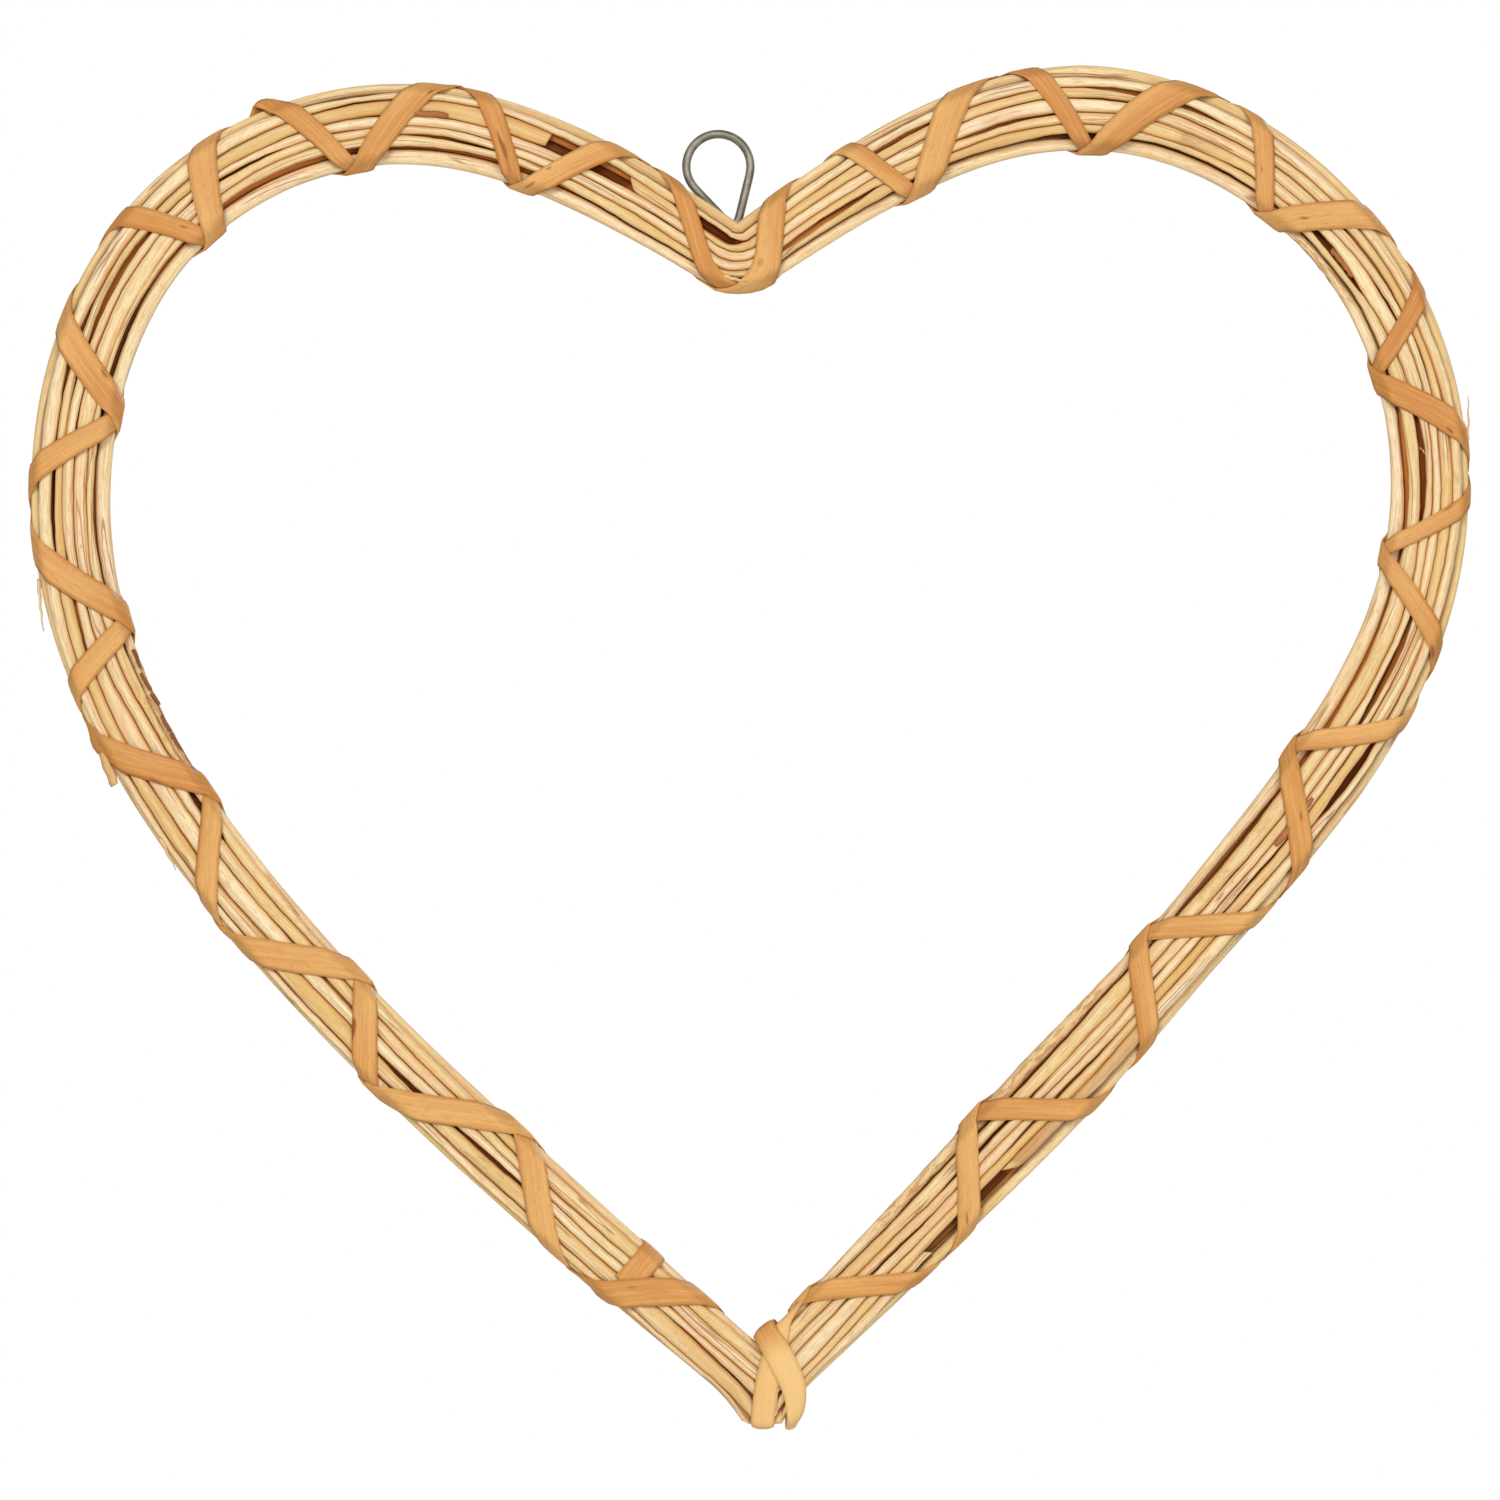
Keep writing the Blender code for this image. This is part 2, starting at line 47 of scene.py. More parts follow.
# The part's sizes
HEART_WIDTH = 0.300
LEFT_SIDE = (
    (0.008, 0.031), (-0.188, 0.203), (-0.354, 0.377), (-0.461, 0.596), (-0.393, 0.831), (-0.251, 0.894),
    (-0.008, 0.7995),
)
RIGHT_SIDE = (
    (-0.008, 0.7995), (0.240, 0.905), (0.420, 0.797), (0.457, 0.583), (0.344, 0.388), (0.189, 0.215),
    (0.008, 0.031),
)
SPLINE_SAMPLES = 120
SEGMENTS_PER_SIDE = 17
TURN_WEIGHT = 0.65
NOTCH_CREASE_RADIUS = 0.0016
NOTCH_BENDS = 4
NOTCH_HEADING_SAMPLES = 7
GAP = 0.0003
BUNDLE_HALF_WIDTH = 0.0080
FULLNESS = (
    (0.000, 0.78), (0.070, 0.90), (0.210, 0.91), (0.280, 1.03), (0.390, 1.06), (0.455, 0.99), (0.498, 0.86),
    (0.545, 0.99), (0.590, 1.10), (0.655, 0.96), (0.740, 1.01), (0.800, 1.08), (0.855, 0.96), (0.900, 1.09),
    (0.965, 0.91), (1.000, 0.78),
)
ROWS = (("front", -1, 5), ("middle", 0, 6), ("back", 1, 5))
ROW_SPACING = math.sin(math.radians(60))
SPLICES = {("front", 4): (0.446, 0.468), ("front", 5): (0.921, 0.949), ("back", 5): (0.450, 0.548)}
TURNS = (
    (52.0, 0.37, 0.55), (46.0, 0.58, 0.59), (50.0, 0.45, 0.57), (41.0, 0.51, 0.73), (46.0, 0.42, 0.66),
    (47.5, 0.37, 0.77), (38.0, 0.30, 0.64), (38.5, 0.45, 0.63), (47.5, 0.34, 0.55), (38.0, 0.38, 0.77),
    (41.5, 0.45, 0.69), (45.0, 0.44, 0.67), (44.5, 0.38, 0.66), (40.0, 0.42, 0.66), (48.5, 0.37, 0.62),
    (50.0, 0.41, 0.60), (51.0, 0.34, 0.60), (51.5, 0.39, 0.57),
)
LASHING_START = 0.0245
LASHING_END = 0.9785
OVER_WIDTH = 0.0050
UNDER_WIDTH = 0.0043
UNDER_TAIL_SHARE = 0.27
TIP_LOOP_OUTER = 0.0016
WIRE_DIAMETER = 0.0018
EYE_RADIUS = 0.00665
EYE_ABOVE_NOTCH = 0.0202
EYE_LEFT_OF_NOTCH = 0.0041
EYE_DEPTH = 0.0035
RIGHT_LEG_ANGLE = 76.4
LEFT_LEG_ANGLE = 46.0
LEG_LENGTH = 0.0096
WIRE_TAIL = 0.036
WIRE_JOIN_LEFT = 0.0075
WIRE_JOIN_RIGHT = 0.0120
FOOT_STAND_OFF = 0.00045
CROSSING_GAP = 0.0004

# How finely the looks are divided
STATION_STEP = 0.0018
NOTCH_STEP = 0.0005
NOTCH_SPAN = 0.012
NOTCH_ARC_POINTS = 33
LOOKS_CREASE_RADIUS = 0.0005
RUN_OUT = 0.012
ROD_SIDES = 18
SLIVER_RINGS = 10
SLIVER_SIDES = 8
STRIP_POINTS = 7
HALF_TURN_STEPS = 44
BAND_STEPS = 8
WIRE_SIDES = 16
WIRE_STEP = 0.0006
WIRE_SMOOTHING = 9
EYE_POINTS = 49
BEND_POINTS = 12
LAID_POINTS = 20
WIRE_EASE = 0.00001

# Rods as (row name, row, number, offset), one in two lengths counted once
RODS = [(name, row, k, k - (count + 1) / 2) for name, row, count in ROWS for k in range(1, count + 1)]
SLANT_N, SLANT_B = math.cos(math.radians(30)), math.sin(math.radians(30))
# The seven rods seen from the front, from the inner edge out, the limits of their size and their depth
SEEN = (("middle", 1), ("front", 1), ("front", 2), ("front", 3), ("front", 4), ("front", 5), ("middle", 6))
SEEN_HALF_WIDTHS = (0.0005, 0.0021)
EDGE_HALF_WIDTHS = (0.00105, 0.0016)
SEEN_HALF_DEPTHS = (0.00075, 0.00130)
DEPTH_FOR_WIDTH = 0.55
DEPTH_ADDED = 0.00050
# Hidden rods as thick shares of the part's, row by row
STOUTNESS = (1.10, 0.86, 1.16, 0.90, 1.06, 0.94, 0.96, 0.84, 0.92, 0.90, 0.94, 1.06, 0.88, 0.96, 1.04, 0.92)
FLATNESS = 1.08
ROD_TAPER = 0.07
HIDDEN_SWAY_N = 0.0007
HIDDEN_SWAY_B = 0.0006
ROD_RECESS = 0.00045
ROD_SQUARENESS = 0.80
# How far a rod's surface departs from its even section, as shares of its size
ROD_FILL = 0.985
ROD_EGG = 0.035
ROD_KNOBS = 0.025
ROD_CHIPS = 0.07
ROD_BEVEL = 0.00018
ROD_END_SHARE = 0.84
ROD_TOUCH = 0.00003
PACKING_STEPS = 160
PUSH_SHARE = 0.35
SMOOTHING_SHARE = 0.05
# How near another rod lays painted shade on a rod, and how far along it a slanted cut reaches
CREVICE_REACH = 0.00030
BESIDE_REACH = 0.0008
CUT_REACH = 0.005
# Seams between the seven rods, in millimetres: the place u, then n of the six seams
SEAMS = (
    (-12, -5.2, -2.8, -0.2, 2.4, 5.0, 6.0), (0, -5.2, -2.8, -0.2, 2.2, 5.0, 6.0),
    (25, -5.2, -2.8, -0.3, 1.0, 5.0, 6.1), (44, -5.3, -2.6, -0.6, 1.7, 4.6, 6.3),
    (58, -5.3, -2.5, -0.9, 0.7, 4.2, 6.3), (80, -5.6, -3.2, -1.2, 1.3, 4.4, 6.1),
    (120, -6.2, -4.3, -1.5, 1.3, 4.9, 6.5), (152, -6.0, -4.0, -1.5, 2.2, 5.2, 6.4),
    (185, -6.4, -4.3, -1.5, 2.2, 4.7, 6.4), (215, -5.0, -3.0, -0.5, 1.5, 4.0, 6.6),
    (235, -4.9, -3.4, -0.6, 1.5, 3.4, 6.5), (262, -5.0, -4.2, -0.8, 1.3, 3.3, 6.2),
    (295, -5.0, -4.2, -0.7, 1.3, 3.4, 6.4), (315, -4.5, -2.2, -0.3, 1.3, 3.5, 6.8),
    (345, -4.6, -2.6, -0.8, 1.5, 4.9, 6.4), (385, -4.5, -2.5, -0.7, 1.4, 4.8, 6.2),
    (405, -4.8, -3.0, -1.0, 1.0, 3.2, 5.0), (426, -4.8, -3.2, -1.2, 0.6, 2.3, 4.2),
    (442, -4.5, -2.8, -0.7, 1.0, 3.0, 4.9), (490, -5.8, -3.5, -1.5, 1.7, 4.2, 6.4),
    (517, -5.6, -4.0, -1.0, 1.7, 3.6, 5.8), (550, -4.6, -3.0, -1.2, 1.0, 3.4, 6.0),
    (566, -6.0, -4.0, -1.2, 1.2, 3.2, 5.8), (584, -5.2, -3.2, 0.5, 1.9, 3.5, 5.6),
    (612, -5.0, -1.6, 0.4, 2.0, 4.4, 6.3), (650, -4.6, -1.4, 0.3, 2.1, 4.2, 6.2),
    (682, -5.0, -2.0, 0.1, 1.8, 4.8, 6.6), (712, -5.5, -2.0, 0.0, 1.5, 3.6, 6.0),
    (745, -5.5, -2.5, -0.5, 1.5, 3.5, 6.2), (788, -5.2, -2.5, -0.5, 1.5, 3.5, 5.8),
    (820, -5.0, -2.6, -0.5, 1.6, 3.4, 5.8), (838, -5.4, -2.4, -0.2, 3.1, 4.8, 6.4),
    (855, -5.0, -2.2, 0.4, 3.0, 4.6, 6.2), (868, -5.0, -2.2, 0.4, 3.0, 4.6, 6.2),
)
SEAM_SOFTNESS = (-0.010, -0.005, 0.0, 0.005, 0.010)
SEAM_SWAY = 0.00022
SEAM_RIPPLE = 0.00008
SEAM_OPENING = 0.00055
SEAM_OVERLAP = 0.00018
SEAM_CLOSED_SHARE = 0.22
SLIT_SPREAD = 1.15
# Open slits along the seams: which seam, where it starts and ends and how wide it gets, in millimetres
SLITS = (
    (4, 2, 24, 0.5), (4, 62, 82, 0.7), (4, 80, 104, 0.9), (6, 36, 62, 0.5), (3, 108, 140, 0.4),
    (2, 158, 172, 1.2), (1, 168, 204, 0.6), (4, 203, 226, 0.6), (5, 226, 248, 0.8), (5, 258, 276, 0.8),
    (1, 256, 284, 0.9), (4, 268, 298, 1.1), (3, 304, 326, 0.5), (6, 328, 350, 1.2), (2, 352, 372, 0.6),
    (4, 381, 400, 0.9), (1, 371, 390, 0.7), (5, 410, 428, 1.9), (2, 432, 458, 1.1), (5, 458, 474, 0.7),
    (3, 478, 496, 0.6), (1, 494, 514, 0.9), (5, 506, 532, 1.0), (2, 556, 577, 1.5), (4, 560, 584, 0.5),
    (2, 602, 630, 1.3), (1, 600, 628, 0.8), (3, 646, 674, 1.3), (5, 672, 692, 1.4), (1, 694, 726, 0.9),
    (4, 700, 716, 0.4), (4, 754, 784, 0.5), (2, 770, 800, 0.6), (6, 786, 804, 1.1), (6, 804, 824, 1.5),
    (3, 806, 830, 0.5), (6, 836, 854, 1.0),
)
# Rods of a deeper colour for a stretch, with painted shade on middle rods seen deep through slits at the
# large amounts: where it starts and ends in millimetres, how much deeper
DEEPER_AND_SLIT_SHADE = {
    ("front", 1): ((430, 520, 0.6),),
    ("front", 2): ((520, 545, 0.6),),
    ("front", 4): ((90, 210, 0.5),),
    ("front", 5): ((742, 792, 1.0),),
    ("middle", 2): ((156, 174, 2.4), (250, 290, 2.2), (490, 518, 2.2), (552, 582, 1.9), (690, 730, 2.0)),
    ("middle", 3): ((0, 6, 2.6), (552, 582, 1.9), (598, 634, 1.6)),
    ("middle", 4): ((0, 10, 2.6), (56, 108, 2.6), (376, 404, 2.6), (845, 856, 2.6)),
    ("middle", 5): (
        (0, 10, 2.6), (324, 352, 2.2), (404, 430, 2.6), (668, 696, 2.4), (784, 828, 2.6), (845, 856, 2.6),
    ),
    ("middle", 6): ((0, 90, 0.5), (640, 720, 0.6), (790, 860, 0.7)),
}
# Torn and mottled stretches: where each starts and ends in millimetres, how rough
ROUGH = {
    ("front", 1): ((112, 150, 0.4), (164, 206, 0.5), (234, 250, 0.5), (690, 730, 0.4)),
    ("front", 4): ((60, 104, 0.5),),
    ("middle", 1): ((164, 206, 2.0), (552, 582, 1.4), (738, 822, 1.0)),
}
# Stubs and splinters: u, n, b at both ends in millimetres, the radii there, how much deeper in colour
SLIVERS = {
    "rod_middle_6": (
        ((186.4, 7.4, -1.0), (179.6, 8.4, -1.3), (1.0, 0.98), 1.02),
        ((222.0, 7.9, -1.0), (212.0, 9.3, -1.3), (0.45, 0.12), 0.3),
        ((612.0, 8.2, -1.0), (604.0, 9.5, -1.2), (0.30, 0.08), 0.8),
        ((166.0, 6.4, -2.4), (159.0, 7.5, -2.6), (0.45, 0.10), 0.2),
    ),
    "rod_front_3": (
        ((612.8, -2.0, -3.9), (615.2, -0.3, -4.2), (0.11, 0.06), 0.0),
        ((619.7, 2.3, -3.8), (619.6, 5.0, -4.2), (0.10, 0.06), 0.0),
        ((617.5, 4.4, -3.8), (620.2, 5.6, -4.1), (0.10, 0.06), 0.0),
        ((350.0, 1.9, -3.4), (361.0, 2.1, -3.7), (0.70, 0.62), 1.4),
        ((690.0, 0.7, -3.5), (702.4, 0.8, -3.8), (0.62, 0.58), 1.3),
    ),
    "rod_front_1": (
        ((203.0, -7.0, -1.5), (198.6, -7.3, -2.0), (0.45, 0.28), 1.95),
        ((197.6, -6.9, -1.6), (193.4, -7.2, -2.0), (0.34, 0.40), 1.9),
        ((192.6, -7.1, -1.9), (189.6, -7.5, -2.1), (0.50, 0.40), 1.95),
        ((187.4, -6.9, -1.8), (183.6, -7.1, -2.1), (0.32, 0.42), 1.9),
        ((183.0, -7.1, -1.8), (179.2, -7.1, -2.2), (0.46, 0.30), 1.95),
    ),
    "rod_middle_2": (((566.0, -3.5, -1.7), (573.6, -3.4, -2.3), (0.62, 0.60), 1.6),),
    "rod_front_2": (((424.2, -4.5, -3.1), (427.6, -5.5, -3.3), (0.45, 0.30), 1.0),),
}
SLIVER_SWAY = 0.00012
SLIVER_FLATNESS = 0.8
# The other attributes of stubs and splinters
SLIVER_FILLS = {"crevice": 0.15, "beside": 0.35, "deep": 0.3, "flank": 0.0, "cut": 0.0}
# How the cut at the end of a rod's first length leans, and the cut where the next length starts
SPLICE_CUTS = {("front", 4): (0.15, 0.0), ("front", 5): (-1.5, 0.2), ("back", 5): (0.2, 0.0)}
NEXT_ROD_CUT = (-0.9, 0.3)
# The point: how far rods stop short of its middle plane, below which n the left side's rods go past it and
# how far, the rod cut back on the right side, the droop of the outer rods and the level of the cut below
TIP_GAP = 0.0002
TIP_INNER_RODS = -0.003
TIP_OVERLAP = 0.0006
CUT_BACK_RIGHT = {("front", 5): 0.0054}
TIP_DROOP = 0.0013
DROOP_REACH = 0.009
DROOP_FROM = 0.002
DROOP_FADE = 0.003
TIP_CUT_ABOVE_LOWEST = 0.0019

# The lashing strips
STRIP_THICKNESS = 0.00042
STRIP_EDGE_THICKNESS = 0.00014
STRIP_LAY = 0.00008
STRIP_RUFFLE = 0.00008
STRIP_CROWN = 0.00022
STRIP_CLEARANCE = 0.00005
ACROSS = np.linspace(-1, 1, STRIP_POINTS)
STRIP_LAYERS = {"under": 0.03, "over": 0.06}
# The reach of the upper strip's head, and shares of a half turn that each strip lacks at start and end
OVER_HEAD_REACH = 0.0095
UNDER_SHORTER = (0.40, 0.28)
OVER_SHORTER = (0.5, 0.93)
# The upper strip is fully raised this near the lower one's middle, in widths of the lower, then ramps down
CROSSING_SHARE = 0.75
CROSSING_RAMP = 0.0017
# Corners of a strip that stand off the bundle's edge: which strip, where, which edge, how far, how wide
POKES = (
    ("over", 219.0, 0, 1.9, 4.0), ("under", 266.0, 0, 1.4, 5.0), ("under", 326.0, 1, 1.9, 4.5),
    ("under", 694.0, 0, 1.7, 4.5), ("over", 668.0, 1, 1.2, 4.0), ("over", 188.0, 1, 0.9, 4.0),
)
POKE_SHARE = 0.12
# Width of each strip against its usual width, along the path in millimetres
BROADNESS = {
    "over": (
        (0, 1.24), (80, 1.24), (180, 1.20), (250, 1.14), (310, 1.14), (385, 0.95), (435, 1.12), (530, 1.24),
        (600, 1.06), (645, 0.84), (700, 0.92), (800, 0.92), (855, 0.95),
    ),
    "under": (
        (0, 1.3), (60, 1.32), (110, 1.25), (160, 1.12), (250, 1.08), (340, 0.95), (460, 0.88), (580, 0.92),
        (620, 0.82), (650, 0.86), (720, 1.04), (800, 1.02), (855, 1.1),
    ),
}
# How deep the strips' colour is along the path, in millimetres
STRIP_TONE = (
    (0, 0.0), (80, 0.05), (120, 0.35), (165, 0.80), (200, 0.80), (270, 0.45), (320, 0.60), (430, 0.45),
    (500, 0.70), (555, 1.00), (585, 0.75), (620, 0.65), (700, 0.30), (740, 0.10), (855, 0.0),
)
# Painted light on each strip's last loop over the point: how strong, and where it starts, ends and fades,
# measured from the strip's end
LOOP_PAINTED_LIGHT = {"under": 0.9, "over": 0.6}
LOOP_FROM = 0.037
LOOP_TO = 0.008
LOOP_FADE_IN = 0.004
LOOP_FADE_OUT = 0.005
# Brown flecks on the strips' fronts: u, n and how long, in millimetres
FLECKS = {
    "over": (
        (105, 3.0, 1.1), (264, -4.0, 2.2), (283, 8.4, 1.4), (357, 6.0, 1.6), (384, -2.5, 1.2),
        (557, -3.5, 1.6), (610, 4.5, 1.8), (694, 1.0, 1.4),
    ),
    "under": ((300, -3.0, 1.3), (326, 8.4, 1.6), (466, -4.5, 1.4), (544, -1.0, 1.2), (772, 6.0, 1.3)),
}
# The under strip's last loop over the point and the over strip's band down it, in millimetres: x, z, depth
# of the edge nearer the point, then of the other edge
TIP_LOOP = (
    (7.2, 1.5, 1.0, 9.5, 2.2, 1.8), (7.4, 1.4, -0.8, 10.2, 3.0, -0.5),
    (7.6, 3.0, -2.9, 11.0, 4.6, -1.9), (7.0, 7.4, -3.5, 11.5, 7.6, -2.7),
    (5.8, 10.5, -3.75, 11.3, 10.8, -3.2), (4.1, 13.6, -3.8, 9.9, 14.6, -3.6),
    (2.5, 16.7, -3.6, 7.8, 18.7, -3.6), (0.9, 19.3, -2.6, 5.2, 22.4, -2.6),
    (0.9, 19.9, -0.8, 5.0, 23.0, -0.8), (1.2, 19.9, 1.5, 5.2, 23.0, 1.5), (2.4, 18.3, 3.0, 6.7, 21.3, 3.0),
)
TIP_BAND = (
    (5.5, 22.5, -1.9, 8.6, 23.2, -2.9), (3.9, 19.2, -2.7, 8.0, 19.8, -2.95),
    (2.1, 15.0, -2.95, 7.0, 14.6, -3.0), (1.0, 10.1, -2.95, 6.0, 9.8, -3.0),
    (0.45, 6.0, -2.95, 5.45, 6.0, -2.95), (0.2, 2.6, -2.9, 5.0, 2.6, -2.9),
    (0.35, 1.7, -2.2, 4.9, 1.7, -2.2), (0.45, 1.4, 0.0, 4.9, 1.4, 0.0), (0.5, 1.7, 2.2, 5.0, 1.7, 2.2),
    (0.3, 3.0, 2.95, 5.1, 3.0, 2.95), (0.1, 8.4, 3.05, 5.3, 8.4, 3.05),
)

# Colours as the eye sees them: pale, warm and pink of both willows, and the strips' split face
WILLOWS = {
    "willow_pale": ((243, 225, 182), (234, 203, 138), (242, 217, 186)),
    "willow_golden": ((234, 206, 146), (222, 184, 112), (243, 225, 182)),
}
STRIP_FACE = (221, 163, 91)
STRIP_DEEP = (203, 136, 68)
STRIP_LIGHT = (230, 179, 109)

# The stage: the lights' places, sizes, energies and colours, and the camera straight in front
FLOOR_HALF = 0.7
FLOOR_LEVEL = -0.46
ROOM_LIGHT = 0.40
LIT_POINT = (0.0, 0.0, -0.126)
LIGHTS = {
    "key": ((-0.35, -1.5, 0.55), 0.5, 12.9, (1.0, 0.985, 0.96)),
    "fill": ((0.55, -1.5, 0.10), 0.6, 7.3, (1.0, 1.0, 1.0)),
    "back": ((0.9, 1.5, 0.45), 0.6, 9.0, (1.0, 1.0, 1.0)),
}
LENS = 150.0
SENSOR_WIDTH = 36.0
VIEW_WIDTH = 0.30843
VIEW_MIDDLE = (0.0065, -0.1258)


def natural_spline(knots):
    """Fine points on the natural cubic spline through the knots, spaced by chord length."""
    points = np.array(knots) * HEART_WIDTH
    chord = np.hypot(*np.diff(points, axis=0).T)
    count = len(points)
    matrix = np.eye(count)
    right = np.zeros((count, 2))
    for i in range(1, count - 1):
        matrix[i, i - 1:i + 2] = chord[i - 1], 2 * (chord[i - 1] + chord[i]), chord[i]
        right[i] = 6 * ((points[i + 1] - points[i]) / chord[i] - (points[i] - points[i - 1]) / chord[i - 1])
    bend = np.linalg.solve(matrix, right)
    fine = []
    for i in range(count - 1):
        for share in np.linspace(0, 1, SPLINE_SAMPLES, endpoint=i == count - 2):
            a = 1 - share
            cubic = (a ** 3 - a) * bend[i] + (share ** 3 - share) * bend[i + 1]
            fine.append(a * points[i] + share * points[i + 1] + cubic * chord[i] ** 2 / 6)
    return np.array(fine)


def run_of(points):
    """Length along a line of points, at each of them."""
    return np.append(0.0, np.cumsum(np.hypot(*np.diff(points, axis=0).T)))


def stations(fine, start, stop):
    """The part's station lengths along one side, closer together where the side bends more."""
    step = np.diff(fine, axis=0)
    length = run_of(fine)
    heading = np.unwrap(np.arctan2(step[:, 1], step[:, 0]))
    turned = np.cumsum(np.abs(np.diff(heading)))
    turned = np.concatenate(([0.0], turned, turned[-1:]))
    measure = TURN_WEIGHT * turned / turned[-1] + (1 - TURN_WEIGHT) * length / length[-1]
    low, high = np.interp((start, stop), length, measure)
    return np.interp(np.linspace(low, high, SEGMENTS_PER_SIDE + 1), measure, length)


def interpolate(at, length, points):
    """Points at the given lengths along a line of points."""
    return np.stack([np.interp(at, length, column) for column in points.T], -1)


def fullness(share):
    """Half width of the bundle at a share of the path."""
    return BUNDLE_HALF_WIDTH * np.interp(share, *zip(*FULLNESS))


def unit(direction):
    """A direction made one long."""
    return direction / np.hypot(*direction)


def across_line(direction):
    """The unit vector to the left of a direction."""
    along = unit(direction)
    return np.array([-along[1], along[0]])


def build_path():
    """The part's stations, the same stations on the smooth line, and that line, run out past both ends."""
    left, right = natural_spline(LEFT_SIDE), natural_spline(RIGHT_SIDE)
    left_run, right_run = run_of(left), run_of(right)
    out_before = across_line(left[-1] - left[-1 - NOTCH_HEADING_SAMPLES])
    out_after = across_line(right[NOTCH_HEADING_SAMPLES] - right[0])
    turn = math.acos(float(out_before @ out_after))
    upward = unit(out_before + out_after)
    sideways = np.array([upward[1], -upward[0]])
    bend = turn / NOTCH_BENDS
    bends = [(k + 0.5) * bend - turn / 2 for k in range(NOTCH_BENDS)]

    def on_arc(radius, angle, reach):
        """A point this far from the middle of the notch's arc of this radius."""
        spoke = upward * math.cos(angle) - sideways * math.sin(angle)
        return left[-1] + upward * radius / math.cos(turn / 2) - spoke * reach

    radius = float(fullness(0.5)) + NOTCH_CREASE_RADIUS
    trim = radius * math.tan(turn / 2)
    corners = [on_arc(radius, angle, radius / math.cos(bend / 2)) for angle in bends]
    left_at = stations(left, 0.0, left_run[-1] - trim)
    right_at = stations(right, trim, right_run[-1])
    polygon = [*interpolate(left_at[:-1], left_run, left), *corners]
    polygon += [*interpolate(right_at[1:], right_run, right)]
    tight = float(fullness(0.5)) + LOOKS_CREASE_RADIUS
    tight_trim = tight * math.tan(turn / 2)
    tight_end = left_run[-1] - tight_trim
    arc = [on_arc(tight, angle, tight) for angle in np.linspace(-turn / 2, turn / 2, NOTCH_ARC_POINTS)]
    line = [*left[left_run < tight_end], *arc, *right[right_run > tight_trim]]
    on_line = [tight_end + tight * (angle + turn / 2) for angle in bends]
    on_line = [*left_at[:-1], *on_line, *(tight_end + tight * turn + right_at[1:] - tight_trim)]
    before = line[0] + RUN_OUT * unit(line[0] - line[1])
    after = line[-1] + RUN_OUT * unit(line[-1] - line[-2])
    return run_of(np.array(polygon)), on_line, np.array([before, *line, after])


def run_out(lengths):
    """Lengths along the path, carried on past both ends."""
    return np.concatenate(([-RUN_OUT], lengths, [lengths[-1] + RUN_OUT]))


corner_lengths, on_line, LINE = build_path()
PATH_LENGTH = corner_lengths[-1]
NOTCH_AT = float((corner_lengths[SEGMENTS_PER_SIDE + 1] + corner_lengths[SEGMENTS_PER_SIDE + 2]) / 2)
PART_AT = run_out(corner_lengths)
LINE_STATIONS = run_out(on_line)
LINE_AT = run_of(LINE) - RUN_OUT
heading = np.gradient(LINE, LINE_AT, axis=0)
heading /= np.hypot(*heading.T)[:, None]
OUTWARD = np.stack([-heading[:, 1], heading[:, 0]], -1)
NOTCH = np.array([LEFT_SIDE[-1][0] * HEART_WIDTH, 0.0, LEFT_SIDE[-1][1] * HEART_WIDTH])
EYE_CENTRE = NOTCH + np.array([-EYE_LEFT_OF_NOTCH, EYE_DEPTH, EYE_ABOVE_NOTCH])
HANG_POINT = EYE_CENTRE + np.array([0.0, 0.0, EYE_RADIUS - WIRE_DIAMETER / 2])


def place(u, n, b):
    """Points at u along the path, n outward and b to the back, before the hang point is taken off."""
    u, n, b = np.broadcast_arrays(u, n, b)
    length = np.interp(u, PART_AT, LINE_STATIONS)
    middle = interpolate(length, LINE_AT, LINE)
    out = interpolate(length, LINE_AT, OUTWARD)
    return np.stack([middle[..., 0] + n * out[..., 0], b, middle[..., 1] + n * out[..., 1]], -1)


def pitch(u):
    """Distance between neighbouring rods of a row in the part."""
    return (fullness(u / PATH_LENGTH) + GAP / 2) / (ROWS[1][2] / 2)


def rod_radius(u):
    """Radius of every rod in the part."""
    return (pitch(u) - GAP) / 2


def wander(seed, u, longest, octaves=3):
    """Smooth noise along the path, about -1 to 1, of its own for each seed."""
    rng = np.random.default_rng(seed)
    total = np.zeros(np.shape(u))
    for octave in range(octaves):
        wave = longest / 1.9 ** octave
        total += np.sin(2 * np.pi * (u / wave + rng.random())) * rng.uniform(0.6, 1.0) / 1.5 ** octave
    return total / 1.5


def bump_at(u, middle, reach):
    """A smooth hump of height 1 at the middle that ends a reach away."""
    return np.clip(1 - ((u - middle) / reach) ** 2, 0, None) ** 2


def ease(value):
    """The value held between 0 and 1."""
    return np.clip(value, 0, 1)


def station_grid():
    """Stations for the looks, closer together through the notch."""
    coarse = np.arange(-RUN_OUT, PATH_LENGTH + RUN_OUT, STATION_STEP)
    coarse = coarse[np.abs(coarse - NOTCH_AT) > NOTCH_SPAN]
    fine = np.arange(NOTCH_AT - NOTCH_SPAN, NOTCH_AT + NOTCH_SPAN, NOTCH_STEP)
    return np.sort(np.concatenate((coarse, fine)))


def wrap_reach(u):
    """How far the flat faces and the slanted faces of the six-sided wrap lie from the middle."""
    return ROW_SPACING * pitch(u) + rod_radius(u), 2.5 * pitch(u) * SLANT_N + rod_radius(u)


def inside_wrap(u, n, b):
    """How far a point lies inside the wrap."""
    face, slant = wrap_reach(u)
    return np.minimum(face - np.abs(b), slant - np.abs(n) * SLANT_N - np.abs(b) * SLANT_B)


